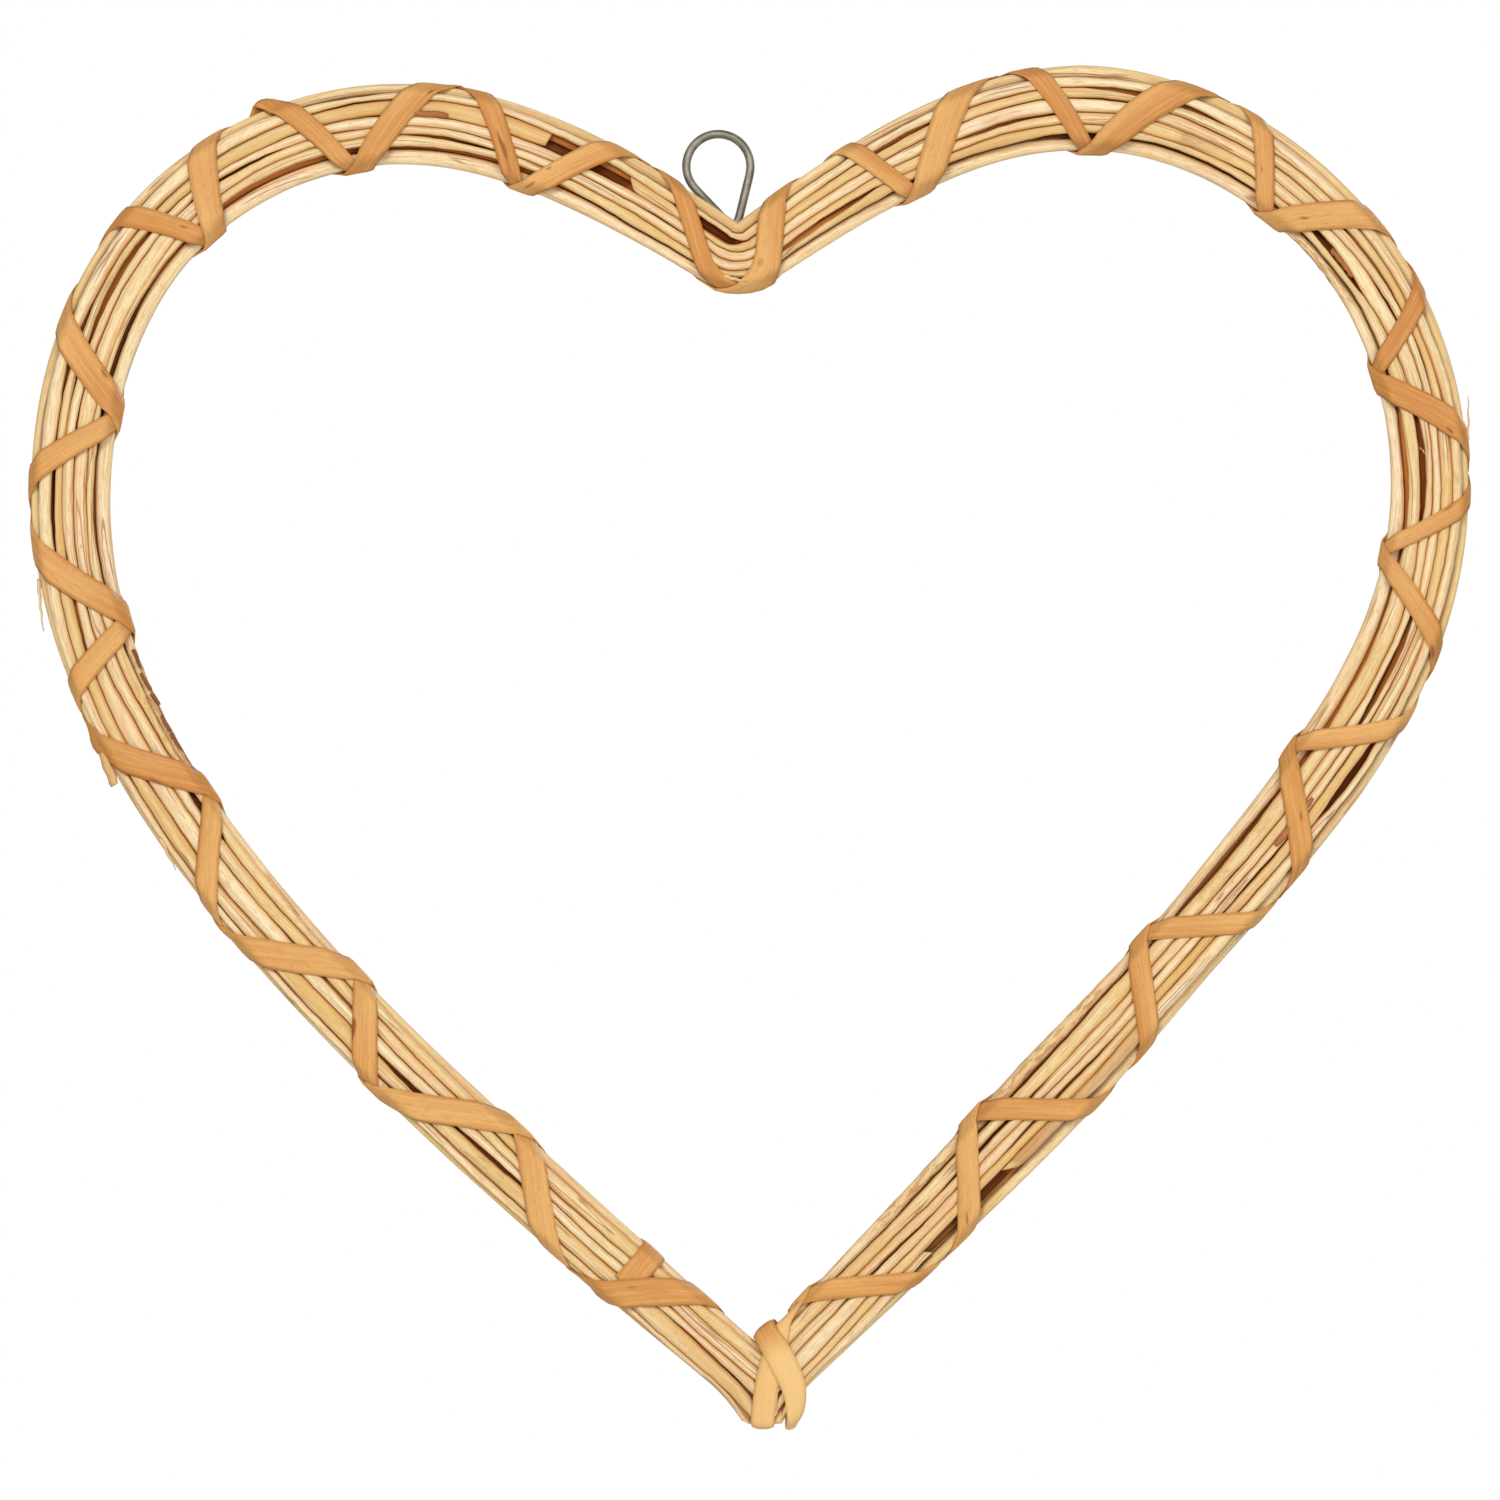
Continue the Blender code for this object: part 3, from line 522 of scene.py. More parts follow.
def seam_lines(u):
    """The six seams along u, and half of the open width at each."""
    table = np.array(SEAMS) * MM
    lines, open_half = [], []
    for k in range(1, len(SEEN)):
        line = np.mean([np.interp(u + shift, table[:, 0], table[:, k]) for shift in SEAM_SOFTNESS], axis=0)
        line = line + SEAM_SWAY * wander(900 + k, u, 0.05) + SEAM_RIPPLE * wander(910 + k, u, 0.006, 2)
        lines.append(line)
        open_share = np.clip(wander(920 + k, u, 0.08) - SEAM_CLOSED_SHARE, 0, None)
        width = SEAM_OPENING * open_share - SEAM_OVERLAP
        for seam, start, stop, wide in SLITS:
            if seam == k:
                reach = (stop - start) * MM / 2
                open_here = np.sqrt(bump_at(u, (start + stop) * MM / 2, reach * SLIT_SPREAD))
                width = np.maximum(width, wide * MM * open_here)
        open_half.append(width / 2)
    return lines, open_half


def first_places(u, spacing, full, face, slant):
    """n, b, half width and half depth of every rod at each station, before the hidden rods settle.

    The seven rods seen from the front fill the stretches between the seams.
    """
    lines, open_half = seam_lines(u)
    edge = 2.5 * spacing + full * 0.99
    found = []
    for k, (row_name, row, number, offset) in enumerate(RODS):
        if (row_name, number) in SEEN:
            seen = SEEN.index((row_name, number))
            low = lines[seen - 1] + open_half[seen - 1] if seen > 0 else -edge
            high = lines[seen] - open_half[seen] if seen < len(lines) else edge
            wide = np.clip((high - low) / 2, *SEEN_HALF_WIDTHS)
            n = (low + high) / 2
            if row == 0:
                wide = np.clip(wide, *EDGE_HALF_WIDTHS)
                n = edge - wide if seen else wide - edge
            deep = np.clip(DEPTH_FOR_WIDTH * wide + DEPTH_ADDED, *SEEN_HALF_DEPTHS)
            recess = ROD_RECESS * np.clip(wander(300 + k, u, 0.12) + 0.25, 0, None)
            lean = np.hypot(wide * SLANT_N, deep * SLANT_B)
            allowed = (slant - np.abs(n) * SLANT_N - lean) / SLANT_B
            b = -np.minimum(face - deep - recess, allowed) if row else 0 * u
        else:
            taper = (1 if k % 2 else -1) * ROD_TAPER * (2 * u / PATH_LENGTH - 1)
            size = full * (STOUTNESS[k] + taper + 0.10 * wander(100 + k, u, 0.19))
            n = offset * spacing + HIDDEN_SWAY_N * wander(200 + k, u, 0.12)
            b = row * ROW_SPACING * spacing + HIDDEN_SWAY_B * wander(300 + k, u, 0.11)
            wide, deep = size * FLATNESS, size / FLATNESS
        found.append((n, b, wide, deep))
    return [np.array(values) for values in zip(*found)]


def pack_rods(u):
    """n, b, half width and half depth of every rod at each station, with the hidden rods settled."""
    spacing, full = pitch(u), rod_radius(u)
    face, slant = wrap_reach(u)
    n, b, wide, deep = first_places(u, spacing, full, face, slant)
    anchored_n = np.array([(row_name, number) in SEEN for row_name, _, number, _ in RODS])
    anchored_b = anchored_n & np.array([rod[0] == "front" for rod in RODS])
    held_n, held_b = n[anchored_n].copy(), b[anchored_b].copy()
    start, stop = SPLICES["back", 5]
    wired = (u > start * PATH_LENGTH) & (u < stop * PATH_LENGTH)
    wide[-1, wired] = deep[-1, wired] = full[wired]
    first, second = np.triu_indices(len(RODS), 1)
    for _ in range(PACKING_STEPS):
        n[-1, wired] = 2 * spacing[wired]
        b[-1, wired] = ROW_SPACING * spacing[wired]
        across, back = n[first] - n[second], b[first] - b[second]
        apart = np.hypot(across, back) + 1e-9
        across, back = across / apart, back / apart
        reach = np.hypot(wide[first] * across, deep[first] * back)
        reach = reach + np.hypot(wide[second] * across, deep[second] * back)
        push = np.clip(reach + ROD_TOUCH - apart, 0, None) * PUSH_SHARE
        for grid, way in ((n, across), (b, back)):
            move = np.zeros_like(grid)
            np.add.at(move, first, push * way)
            np.add.at(move, second, -push * way)
            grid += move
        b -= np.sign(b) * np.clip(np.abs(b) + deep - face, 0, None)
        lean = np.hypot(wide * SLANT_N, deep * SLANT_B)
        past = np.clip(np.abs(n) * SLANT_N + np.abs(b) * SLANT_B + lean - slant, 0, None)
        n -= np.sign(n) * past * SLANT_N
        b -= np.sign(b) * past * SLANT_B
        for grid in (n, b):
            grid[:, 1:-1] += SMOOTHING_SHARE * (grid[:, 2:] + grid[:, :-2] - 2 * grid[:, 1:-1])
        n[anchored_n] = held_n
        b[anchored_b] = held_b
    droop = sum(np.clip(1 - left / DROOP_REACH, 0, 1.2) ** 2 for left in (u, PATH_LENGTH - u))
    n += TIP_DROOP * droop * ease((n - DROOP_FROM) / DROOP_FADE)
    return n, b, wide, deep


def stretch_share(table, row, number, u, soft):
    """How far a table of stretches applies to a rod at u."""
    total = np.zeros(np.shape(u))
    for start, stop, amount in table.get((row, number), ()):
        total = np.maximum(total, amount * ease((u - start * MM) / soft) * ease((stop * MM - u) / soft))
    return total


GRID = station_grid()
PACKED = pack_rods(GRID)


def rod_at(k, u):
    """n, b, half width and half depth of rod k at u."""
    return [np.interp(u, GRID, values[k]) for values in PACKED]


def room_beside(k, u, n, b):
    """Distance from points on rod k to the nearest other rod."""
    near = np.full(np.shape(n), 0.02)
    for other in range(len(RODS)):
        if other != k:
            at_n, at_b, wide, deep = rod_at(other, u)
            apart = np.hypot(n - at_n, b - at_b)
            share = np.hypot((n - at_n) / wide, (b - at_b) / deep)
            near = np.minimum(near, apart * (1 - 1 / np.clip(share, 0.2, None)))
    return np.clip(near, 0, None)


def make_object(name, points, faces, attributes, material):
    """The looks of one piece from points and faces, with its attributes, set at the hang point."""
    mesh = bpy.data.meshes.new(name + "_looks")
    mesh.from_pydata((points - HANG_POINT).tolist(), [], faces)
    mesh.update()
    for key, values in attributes.items():
        kind, field = ("FLOAT_VECTOR", "vector") if values.ndim == 2 else ("FLOAT", "value")
        layer = mesh.attributes.new(key, kind, "POINT")
        layer.data.foreach_set(field, values.astype(np.float32).ravel())
    mesh.shade_smooth()
    mesh.materials.append(material)
    thing = bpy.data.objects.new(name + "_looks", mesh)
    bpy.context.scene.collection.objects.link(thing)
    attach(thing, "root")
    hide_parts(name)


def tube_quads(rings, sides):
    """Quads round a tube of rings."""
    faces = []
    for i in range(rings - 1):
        for k in range(sides):
            m = (k + 1) % sides
            faces.append((i * sides + k, i * sides + m, (i + 1) * sides + m, (i + 1) * sides + k))
    return faces


def tube_faces(rings, sides):
    """Quads round a tube of rings, with a fan to one more point at each end."""
    faces = tube_quads(rings, sides)
    first = rings * sides
    for k in range(sides):
        m = (k + 1) % sides
        faces.append((m, k, first))
        faces.append(((rings - 1) * sides + k, (rings - 1) * sides + m, first + 1))
    return faces


def grain_of(along, around, layer):
    """Where points lie in the grain: along the piece, around it and in a layer of its own."""
    return np.stack(np.broadcast_arrays(along, around, layer), -1).reshape(-1, 3)


def rod_piece(name, k, ends, cuts, material):
    """One willow rod between its ends, not quite round, with its grain, tone and splinters.

    Each cut is how far its plane leans: along the path for each step outward and each step to the back.
    """
    row, _, number, _ = RODS[k]
    start, stop = ends
    inner = GRID[(GRID > start + 4 * ROD_BEVEL) & (GRID < stop - 4 * ROD_BEVEL)]
    u = np.concatenate(([start, start + ROD_BEVEL], inner, [stop - ROD_BEVEL, stop]))
    shrink = np.ones(len(u))
    shrink[0] = shrink[-1] = ROD_END_SHARE
    n, b, wide, deep = (values[:, None] for values in rod_at(k, u))
    angle = 2 * np.pi * np.arange(ROD_SIDES) / ROD_SIDES
    egg = ROD_EGG * np.sin(2 * angle[None, :] + 3 * wander(400 + k, u, 0.2)[:, None])
    knobs = ROD_KNOBS * np.sin(3 * angle[None, :] + 5 * wander(500 + k, u, 0.11)[:, None])
    ruin = stretch_share(ROUGH, row, number, u, 0.012)[:, None]
    chipped = np.stack([wander(700 + 31 * k + m, u, 0.009, 3) for m in range(ROD_SIDES)], -1)
    share = shrink[:, None] * (ROD_FILL + egg + knobs + ROD_CHIPS * ruin * (chipped - 0.6))
    ring_n = n + wide * share * np.sign(np.cos(angle)) * np.abs(np.cos(angle)) ** ROD_SQUARENESS
    ring_b = b + deep * share * np.sign(np.sin(angle)) * np.abs(np.sin(angle)) ** ROD_SQUARENESS
    fade_start = ease(1 - (u - start) / CUT_REACH)[:, None]
    fade_stop = ease(1 - (stop - u) / CUT_REACH)[:, None]
    lean_n, lean_b = (cuts[0][axis] * fade_start + cuts[1][axis] * fade_stop for axis in (0, 1))
    ring_u = u[:, None] + (ring_n - n) * lean_n + (ring_b - b) * lean_b
    room = room_beside(k, ring_u, ring_n, ring_b)
    sunk = inside_wrap(ring_u, ring_n, ring_b) / MM
    # Middle rods seen from the front get half the painted shade of their depth
    if row == "middle" and (row, number) in SEEN:
        sunk *= 0.5
    points = [place(ring_u, ring_n, ring_b).reshape(-1, 3)]
    points.append(place(np.array(ends), *(np.interp(ends, u, values[:, 0]) for values in (n, b))))
    grain = grain_of(ring_u, angle * wide.mean(), 0.013 * k)
    tone = 0.45 + 0.5 * wander(600 + k, ring_u, 0.35) + 0.35 * math.sin(2.4 * k)
    cut = np.zeros(ring_u.shape)
    cut[0] = cut[-1] = 1.0
    # crevice, beside and deep carry painted shade from nearby rods and from depth in the bundle; flank marks
    # each rod's inner side, for painted shade and bark
    fields = {
        "crevice": (np.exp(-room / CREVICE_REACH), 0.5),
        "beside": (np.exp(-room / BESIDE_REACH), 0.5),
        "deep": (sunk, 1.0),
        "flank": (np.broadcast_to(-np.cos(angle), ring_u.shape), 0.0),
        "tone": (tone + stretch_share(DEEPER_AND_SLIT_SHADE, row, number, ring_u, 0.006), 0.8),
        "rough": (np.repeat(ruin, ROD_SIDES, axis=1), 0.0),
        "cut": (cut, 1.0),
    }
    attributes = {key: np.append(field, (end, end)) for key, (field, end) in fields.items()}
    attributes["grain"] = np.concatenate((grain, [(start, 0, 0.5), (stop, 0, 0.5)]))
    faces = tube_faces(len(u), ROD_SIDES)
    for sliver in SLIVERS.get(name, ()):
        add_sliver(points, faces, attributes, *sliver)
    points = np.concatenate(points)
    points[:, 2] = np.maximum(points[:, 2], TIP_CUT_ABOVE_LOWEST)
    make_object(name, points, faces, attributes, material)


def add_sliver(points, faces, attributes, from_place, to_place, radii, deeper):
    """A thin stub or splinter between two places u, n, b in millimetres, added to its rod's mesh."""
    base = sum(len(group) for group in points)
    share = np.linspace(0, 1, SLIVER_RINGS)[:, None]
    u, n, b = (np.array(from_place) * MM * (1 - share) + np.array(to_place) * MM * share).T
    n = n + SLIVER_SWAY * np.sin(9 * share[:, 0] + 3 * u / MM)
    r = (radii[0] * (1 - share) + radii[1] * share)[:, 0] * MM
    r[[0, -1]] *= 0.8
    angle = 2 * np.pi * np.arange(SLIVER_SIDES) / SLIVER_SIDES
    ring_n = n[:, None] + r[:, None] * np.cos(angle)
    ring_b = b[:, None] + r[:, None] * np.sin(angle) * SLIVER_FLATNESS
    points.append(place(u[:, None], ring_n, ring_b).reshape(-1, 3))
    points.append(place(u[[0, -1]], n[[0, -1]], b[[0, -1]]))
    faces += [tuple(base + corner for corner in face) for face in tube_faces(SLIVER_RINGS, SLIVER_SIDES)]
    grain = np.concatenate((grain_of(u[:, None], angle * r.mean(), 0.3), [(u[0], 0, 0.5), (u[-1], 0, 0.5)]))
    attributes["grain"] = np.concatenate((attributes["grain"], grain))
    fills = {"tone": 0.4 + deeper, "rough": 0.2 * deeper, **SLIVER_FILLS}
    for key, value in fills.items():
        attributes[key] = np.append(attributes[key], np.full(len(grain), value))


def tip_cut(k, at_start):
    """Where rod k meets the middle plane of the point, and how the cut there leans with n."""
    out = OUTWARD[1] if at_start else OUTWARD[-2]
    lean = -out[0] / out[1]
    end = 0.0 if at_start else PATH_LENGTH
    n = float(rod_at(k, end)[0])
    gap = TIP_GAP if at_start else -TIP_GAP
    if at_start and n < TIP_INNER_RODS:
        gap = -TIP_OVERLAP
    return end + n * lean + gap, lean


def build_rods(materials):
    """Every rod of the bundle, each in place of the part's rod of the same name."""
    for k, (row_name, row, number, _) in enumerate(RODS):
        slot = "willow_golden" if (number + row) % 3 == 0 else "willow_pale"
        name = f"rod_{row_name}_{number}"
        start, start_lean = tip_cut(k, True)
        stop, stop_lean = tip_cut(k, False)
        stop -= CUT_BACK_RIGHT.get((row_name, number), 0.0)
        cut_start, cut_stop = (start_lean, 0.0), (stop_lean, 0.0)
        lengths = [(name, (start, stop), (cut_start, cut_stop))]
        if (row_name, number) in SPLICES:
            first, second = (share * PATH_LENGTH for share in SPLICES[row_name, number])
            lengths = [
                (name + "_left", (start, first), (cut_start, SPLICE_CUTS[row_name, number])),
                (name + "_right", (second, stop), (NEXT_ROD_CUT, cut_stop)),
            ]
        for piece, ends, cuts in lengths:
            rod_piece(piece, k, ends, cuts, materials[slot])


def around_half(u, share, side, off):
    """n and b on the rounded wrap: share 0 at the inner edge to 1 at the outer edge."""
    spacing = pitch(u)
    reach = rod_radius(u) + off
    turn = reach * math.pi / 6
    deep = ROW_SPACING * spacing
    pieces = (
        (turn, 30.0, 0.0, 0.0),
        (spacing, 0.0, 0.5 * spacing, deep),
        (2 * turn, 60.0, 0.0, 0.0),
        (4 * spacing, 0.0, 4 * spacing, 0.0),
        (2 * turn, 60.0, 0.0, 0.0),
        (spacing, 0.0, 0.5 * spacing, -deep),
        (turn, 30.0, 0.0, 0.0),
    )
    walked = share * sum(piece[0] for piece in pieces)
    angle, n, b = 0.0, -2.5 * spacing, 0.0 * spacing
    for length, turned, across, down in pieces:
        part = ease(walked / length)
        angle = angle + part * math.radians(turned)
        n = n + part * across
        b = b + part * down
        walked = walked - length
    return n - reach * np.cos(angle), side * (b + reach * np.sin(angle))


def turn_marks():
    """Where each turn starts on the inner edge, and where both strips round the outer edge."""
    scale = (LASHING_END - LASHING_START) * PATH_LENGTH / sum(turn[0] for turn in TURNS)
    inner, over, under = [LASHING_START * PATH_LENGTH], [], []
    for length, over_share, under_share in TURNS:
        over.append(inner[-1] + over_share * length * scale)
        under.append(inner[-1] + under_share * length * scale)
        inner.append(inner[-1] + length * scale)
    return inner, over, under


INNER, OVER, UNDER = turn_marks()
UNDER_TAIL_AT = INNER[0] + UNDER_TAIL_SHARE * (INNER[1] - INNER[0])
HALF_GIRTH = 6 * pitch(PATH_LENGTH / 4) + math.pi * (rod_radius(PATH_LENGTH / 4) + GAP)


def strip_run(knots, in_front_first, shorter):
    """Stations of a strip through its edge knots, from the inner edge: u, share across and side."""
    fine = np.linspace(0, len(knots) - 1, (len(knots) - 1) * HALF_TURN_STEPS + 1)
    u = np.interp(fine, np.arange(len(knots)), knots)
    kernel = np.hanning(HALF_TURN_STEPS // 3)
    kernel /= kernel.sum()
    padded = np.concatenate((2 * u[0] - u[len(kernel):0:-1], u, 2 * u[-1] - u[-2:-len(kernel) - 2:-1]))
    u = np.convolve(padded, kernel, "same")[len(kernel):-len(kernel)]
    half = np.minimum(fine.astype(int), len(knots) - 2)
    part = fine - half
    share = np.where(half % 2 == 0, 1 - part, part)
    side = np.where((half % 2 == 0) == in_front_first, 1, -1)
    kept = slice(int(shorter[0] * HALF_TURN_STEPS), len(u) - int(shorter[1] * HALF_TURN_STEPS))
    return u[kept], share[kept], side[kept]


def through(points, steps):
    """Points on the smooth curve through the given ones, which may be of any shape."""
    padded = np.concatenate((2 * points[:1] - points[1:2], points, 2 * points[-1:] - points[-2:-1]))
    found = []
    for before, here, after, beyond in zip(padded[:-3], padded[1:-2], padded[2:-1], padded[3:]):
        for t in np.arange(steps) / steps:
            line = 2 * here + (after - before) * t + (2 * before - 5 * here + 4 * after - beyond) * t ** 2
            found.append((line + (3 * here - before - 3 * after + beyond) * t ** 3) / 2)
    found.append(points[-1])
    return np.array(found)


def thickness(across):
    """A strip's thickness at a place across it, -1 to 1: full in the middle and thin at both edges."""
    return STRIP_EDGE_THICKNESS + (STRIP_THICKNESS - STRIP_EDGE_THICKNESS) * (1 - across ** 4)


def band(outer, inner, length, pairs):
    """A strip carried on past its end, through places of the edge nearer the point and the other edge."""
    edges = [inner[-3, (0, -1)], inner[-1, (0, -1)]]
    for x, z, b, other_x, other_z, other_b in pairs:
        edges.append([[other_x * MM, other_b * MM, other_z * MM], [x * MM, b * MM, z * MM]])
    rows = through(np.array(edges), BAND_STEPS)[BAND_STEPS:]
    share = np.linspace(0, 1, STRIP_POINTS)[None, :, None]
    base = rows[:, None, 0] * (1 - share) + rows[:, None, 1] * share
    middle = (rows[:, 0] + rows[:, 1]) / 2
    out = np.cross(np.gradient(middle, axis=0), rows[:, 1] - rows[:, 0])
    out /= np.linalg.norm(out, axis=1)[:, None]
    if out[0] @ (outer[-1, STRIP_POINTS // 2] - inner[-1, STRIP_POINTS // 2]) < 0:
        out = -out
    low = base + out[:, None, :] * (STRIP_CROWN * (1 - ACROSS ** 2))[None, :, None]
    high = low + out[:, None, :] * thickness(ACROSS)[None, :, None]
    longer = np.append(length, length[-1] + np.cumsum(np.linalg.norm(np.diff(middle, axis=0), axis=1)))
    return np.concatenate((outer, high[1:])), np.concatenate((inner, low[1:])), longer


def no_lift(u, share, side):
    """The strip beneath lies on the bundle everywhere."""
    return 0 * u


def lift_over(u, share, side):
    """How far the strip on top stands off the bundle, because it crosses the strip beneath."""
    passes = [(UNDER_TAIL_AT, UNDER_TAIL_AT, 1), (UNDER_TAIL_AT, UNDER[0], -1), (INNER[1], UNDER[0], 1)]
    for k in range(1, len(TURNS)):
        passes += [(INNER[k], UNDER[k], -1), (INNER[k + 1], UNDER[k], 1)]
    nearest = np.full(np.shape(u), 1.0)
    for at_inner, at_outer, pass_side in passes:
        apart = np.abs(u - (at_inner + share * (at_outer - at_inner)))
        nearest = np.where(side == pass_side, np.minimum(nearest, apart), nearest)
    lifted = ease((UNDER_WIDTH * CROSSING_SHARE + CROSSING_RAMP - nearest) / CROSSING_RAMP)
    return (STRIP_THICKNESS + STRIP_CLEARANCE) * lifted


def strip_sections(which, run, width, seed, lift):
    """Points of a strip's outer and inner faces, u at each of them and the length along the strip."""
    u, share, side = run
    length = np.arange(len(u)) * HALF_GIRTH / HALF_TURN_STEPS
    rate = np.gradient(u) / np.gradient(length)
    spread = width * np.hypot(1.0, rate) * np.interp(u / MM, *zip(*BROADNESS[which]))
    spread = spread * (1 + 0.03 * wander(seed, length, 0.11) + 0.02 * wander(seed + 1, length, 0.012, 2))
    at = u[:, None] + ACROSS[None, :] * spread[:, None] / 2
    share, side = (np.repeat(values[:, None], STRIP_POINTS, axis=1) for values in (share, side))
    rise = lift(at, share, side)
    ruffle = STRIP_RUFFLE * (1 + wander(seed + 2, length, 0.03))[:, None] * (ACROSS ** 2)[None, :]
    for poke_strip, where, edge, height, reach in POKES:
        if poke_strip == which:
            near = bump_at(at, where * MM, reach * MM)
            rise = rise + height * MM * near * ease(1 - np.abs(share - edge) / POKE_SHARE) ** 1.5
    faces = []
    for extra in (thickness(ACROSS)[None, :], 0.0):
        n, b = around_half(at, share, side, STRIP_LAY + rise + ruffle + extra)
        faces.append(place(at, n, -b))
    return *faces, at, length


def build_strip(which, knots, in_front_first, shorter, width, seed, lift, tail):
    """A lashing strip: its turns through the knots, then its tail over the point, with painted light on its
    last loop.
    """
    run = strip_run(np.array(knots), in_front_first, shorter)
    outer, inner, at, length = strip_sections(which, run, width, seed, lift)
    outer, inner, length = band(outer, inner, length, tail)
    rings, wide = outer.shape[:2]
    sides = 2 * wide
    points = np.concatenate((outer, inner[:, ::-1]), axis=1).reshape(-1, 3)
    faces = tube_quads(rings, sides)
    faces.append(tuple(range(sides))[::-1])
    faces.append(tuple((rings - 1) * sides + k for k in range(sides)))
    position = np.concatenate((ACROSS, ACROSS[::-1]))
    layer = STRIP_LAYERS[which]
    left = length[-1] - length
    # Painted light on the strip's last loop, faded in and out along it
    loop = ease((LOOP_FROM - left) / LOOP_FADE_IN) * ease((left - LOOP_TO) / LOOP_FADE_OUT)
    middle = np.full(rings, PATH_LENGTH)
    middle[:len(at)] = at[:, wide // 2]
    attributes = {
        "grain": grain_of(length[:, None], position * OVER_WIDTH / 2, layer),
        "edge": np.tile(np.abs(position), rings),
        "skew": np.tile(position, rings),
        "pale": np.repeat(loop, sides) * LOOP_PAINTED_LIGHT[which],
        "tone": np.repeat(np.interp(middle / MM, *zip(*STRIP_TONE)), sides),
    }
    spots = []
    for spot_u, spot_n, size in FLECKS[which]:
        spot = place(spot_u * MM, spot_n * MM, -3.0 * MM)
        ring, step = divmod(np.argmin(np.linalg.norm(outer - spot, axis=-1)), wide)
        spots.append(((length[ring], position[step] * OVER_WIDTH / 2, layer), size * MM))
    slot = "skein_" + which
    make_object("lashing_strip_" + which, points, faces, attributes, skein(slot + "_looks", spots))


def build_strips():
    """Both lashing strips: the lower one with its tucked start and the upper one with its hidden head."""
    turns = range(len(TURNS))
    under = [UNDER_TAIL_AT, UNDER_TAIL_AT, *(at for k in turns for at in (UNDER[k], INNER[k + 1]))]
    under.append(PATH_LENGTH - TIP_LOOP_OUTER)
    build_strip("under", under, True, UNDER_SHORTER, UNDER_WIDTH, 31, no_lift, TIP_LOOP)
    head, end = INNER[0] - 2 * OVER_HEAD_REACH, INNER[-1] + 2 * OVER_HEAD_REACH
    over = [head, INNER[0], *(at for k in turns for at in (OVER[k], INNER[k + 1])), end]
    build_strip("over", over, False, OVER_SHORTER, OVER_WIDTH, 61, lift_over, TIP_BAND)


def channel(u):
    """Middle of the wire where it takes a rod's place in the back row."""
    return place(u, 2 * pitch(u), ROW_SPACING * pitch(u))


def meeting_point(start, along, other, other_along):
    """Where two lines in the heart's plane meet, at the depth of the first."""
    cross = along[0] * other_along[2] - along[2] * other_along[0]
    apart = other - start
    reach = (apart[0] * other_along[2] - apart[2] * other_along[0]) / cross
    return np.array([start[0] + reach * along[0], start[1], start[2] + reach * along[2]])


def bend_points(start, corner, stop):
    """Points on the curve that leaves and arrives along the lines to a corner."""
    shares = np.linspace(0, 1, BEND_POINTS + 2)[1:-1]
    return [(1 - t) ** 2 * start + 2 * t * (1 - t) * corner + t ** 2 * stop for t in shares]


def wire_line():
    """The wire's middle line: in the left side, up into the eye, across itself, in the right side."""
    right_angle = math.radians(RIGHT_LEG_ANGLE)
    left_angle = math.radians(LEFT_LEG_ANGLE)
    right_along = np.array([math.cos(right_angle), 0.0, math.sin(right_angle)])
    left_along = np.array([math.cos(left_angle), 0.0, -math.sin(left_angle)])
    angles = np.linspace(right_angle - math.pi / 2, math.pi * 1.5 - left_angle, EYE_POINTS)
    arc = [EYE_CENTRE + EYE_RADIUS * np.array([math.cos(t), 0.0, math.sin(t)]) for t in angles]
    right_foot = arc[0] - LEG_LENGTH * right_along
    right_foot[1] = channel(NOTCH_AT)[1] + FOOT_STAND_OFF
    left_foot = arc[-1] + LEG_LENGTH * left_along
    left_foot[1] = right_foot[1] + WIRE_DIAMETER + CROSSING_GAP
    laid_left = channel(np.linspace(NOTCH_AT - WIRE_TAIL, NOTCH_AT - WIRE_JOIN_LEFT, LAID_POINTS))
    laid_right = channel(np.linspace(NOTCH_AT + WIRE_JOIN_RIGHT, NOTCH_AT + WIRE_TAIL, LAID_POINTS))
    corner_left = meeting_point(right_foot, right_along, laid_left[-1], laid_left[-1] - laid_left[-2])
    corner_right = meeting_point(left_foot, left_along, laid_right[0], laid_right[1] - laid_right[0])
    path = [*laid_left, *bend_points(laid_left[-1], corner_left, right_foot), right_foot, *arc, left_foot]
    path += [*bend_points(left_foot, corner_right, laid_right[0]), *laid_right]
    path = np.array(path)
    run = np.append(0.0, np.cumsum(np.linalg.norm(np.diff(path, axis=0), axis=1)))
    even = np.arange(0.0, run[-1], WIRE_STEP)
    path = interpolate(even, run, path)
    kernel = np.hanning(WIRE_SMOOTHING)
    kernel /= kernel.sum()
    half = WIRE_SMOOTHING // 2
    for column in path.T:
        column[half:-half] = np.convolve(column, kernel, "valid")
    return even, path


def build_wire(material):
    """The round wire along its middle line."""
    even, line = wire_line()
    along = np.gradient(line, axis=0)
    along /= np.linalg.norm(along, axis=1)[:, None]
    side = np.cross(along[0], (0.0, 1.0, 0.0))
    angle = 2 * np.pi * np.arange(WIRE_SIDES) / WIRE_SIDES
    points = []
    for point, direction in zip(line, along):
        side = side - side @ direction * direction
        side /= np.linalg.norm(side)
        spokes = np.cos(angle)[:, None] * side + np.sin(angle)[:, None] * np.cross(direction, side)
        points += [*(point + (WIRE_DIAMETER / 2 - WIRE_EASE) * spokes)]
    points = np.array([*points, line[0], line[-1]])
    grain = grain_of(even[:, None], angle * WIRE_DIAMETER / 2, 0.0)
    grain = np.concatenate((grain, [(0, 0, 0), (even[-1], 0, 0)]))
    faces = tube_faces(len(line), WIRE_SIDES)
    make_object("wire_hanger", points, faces, {"grain": grain}, material)


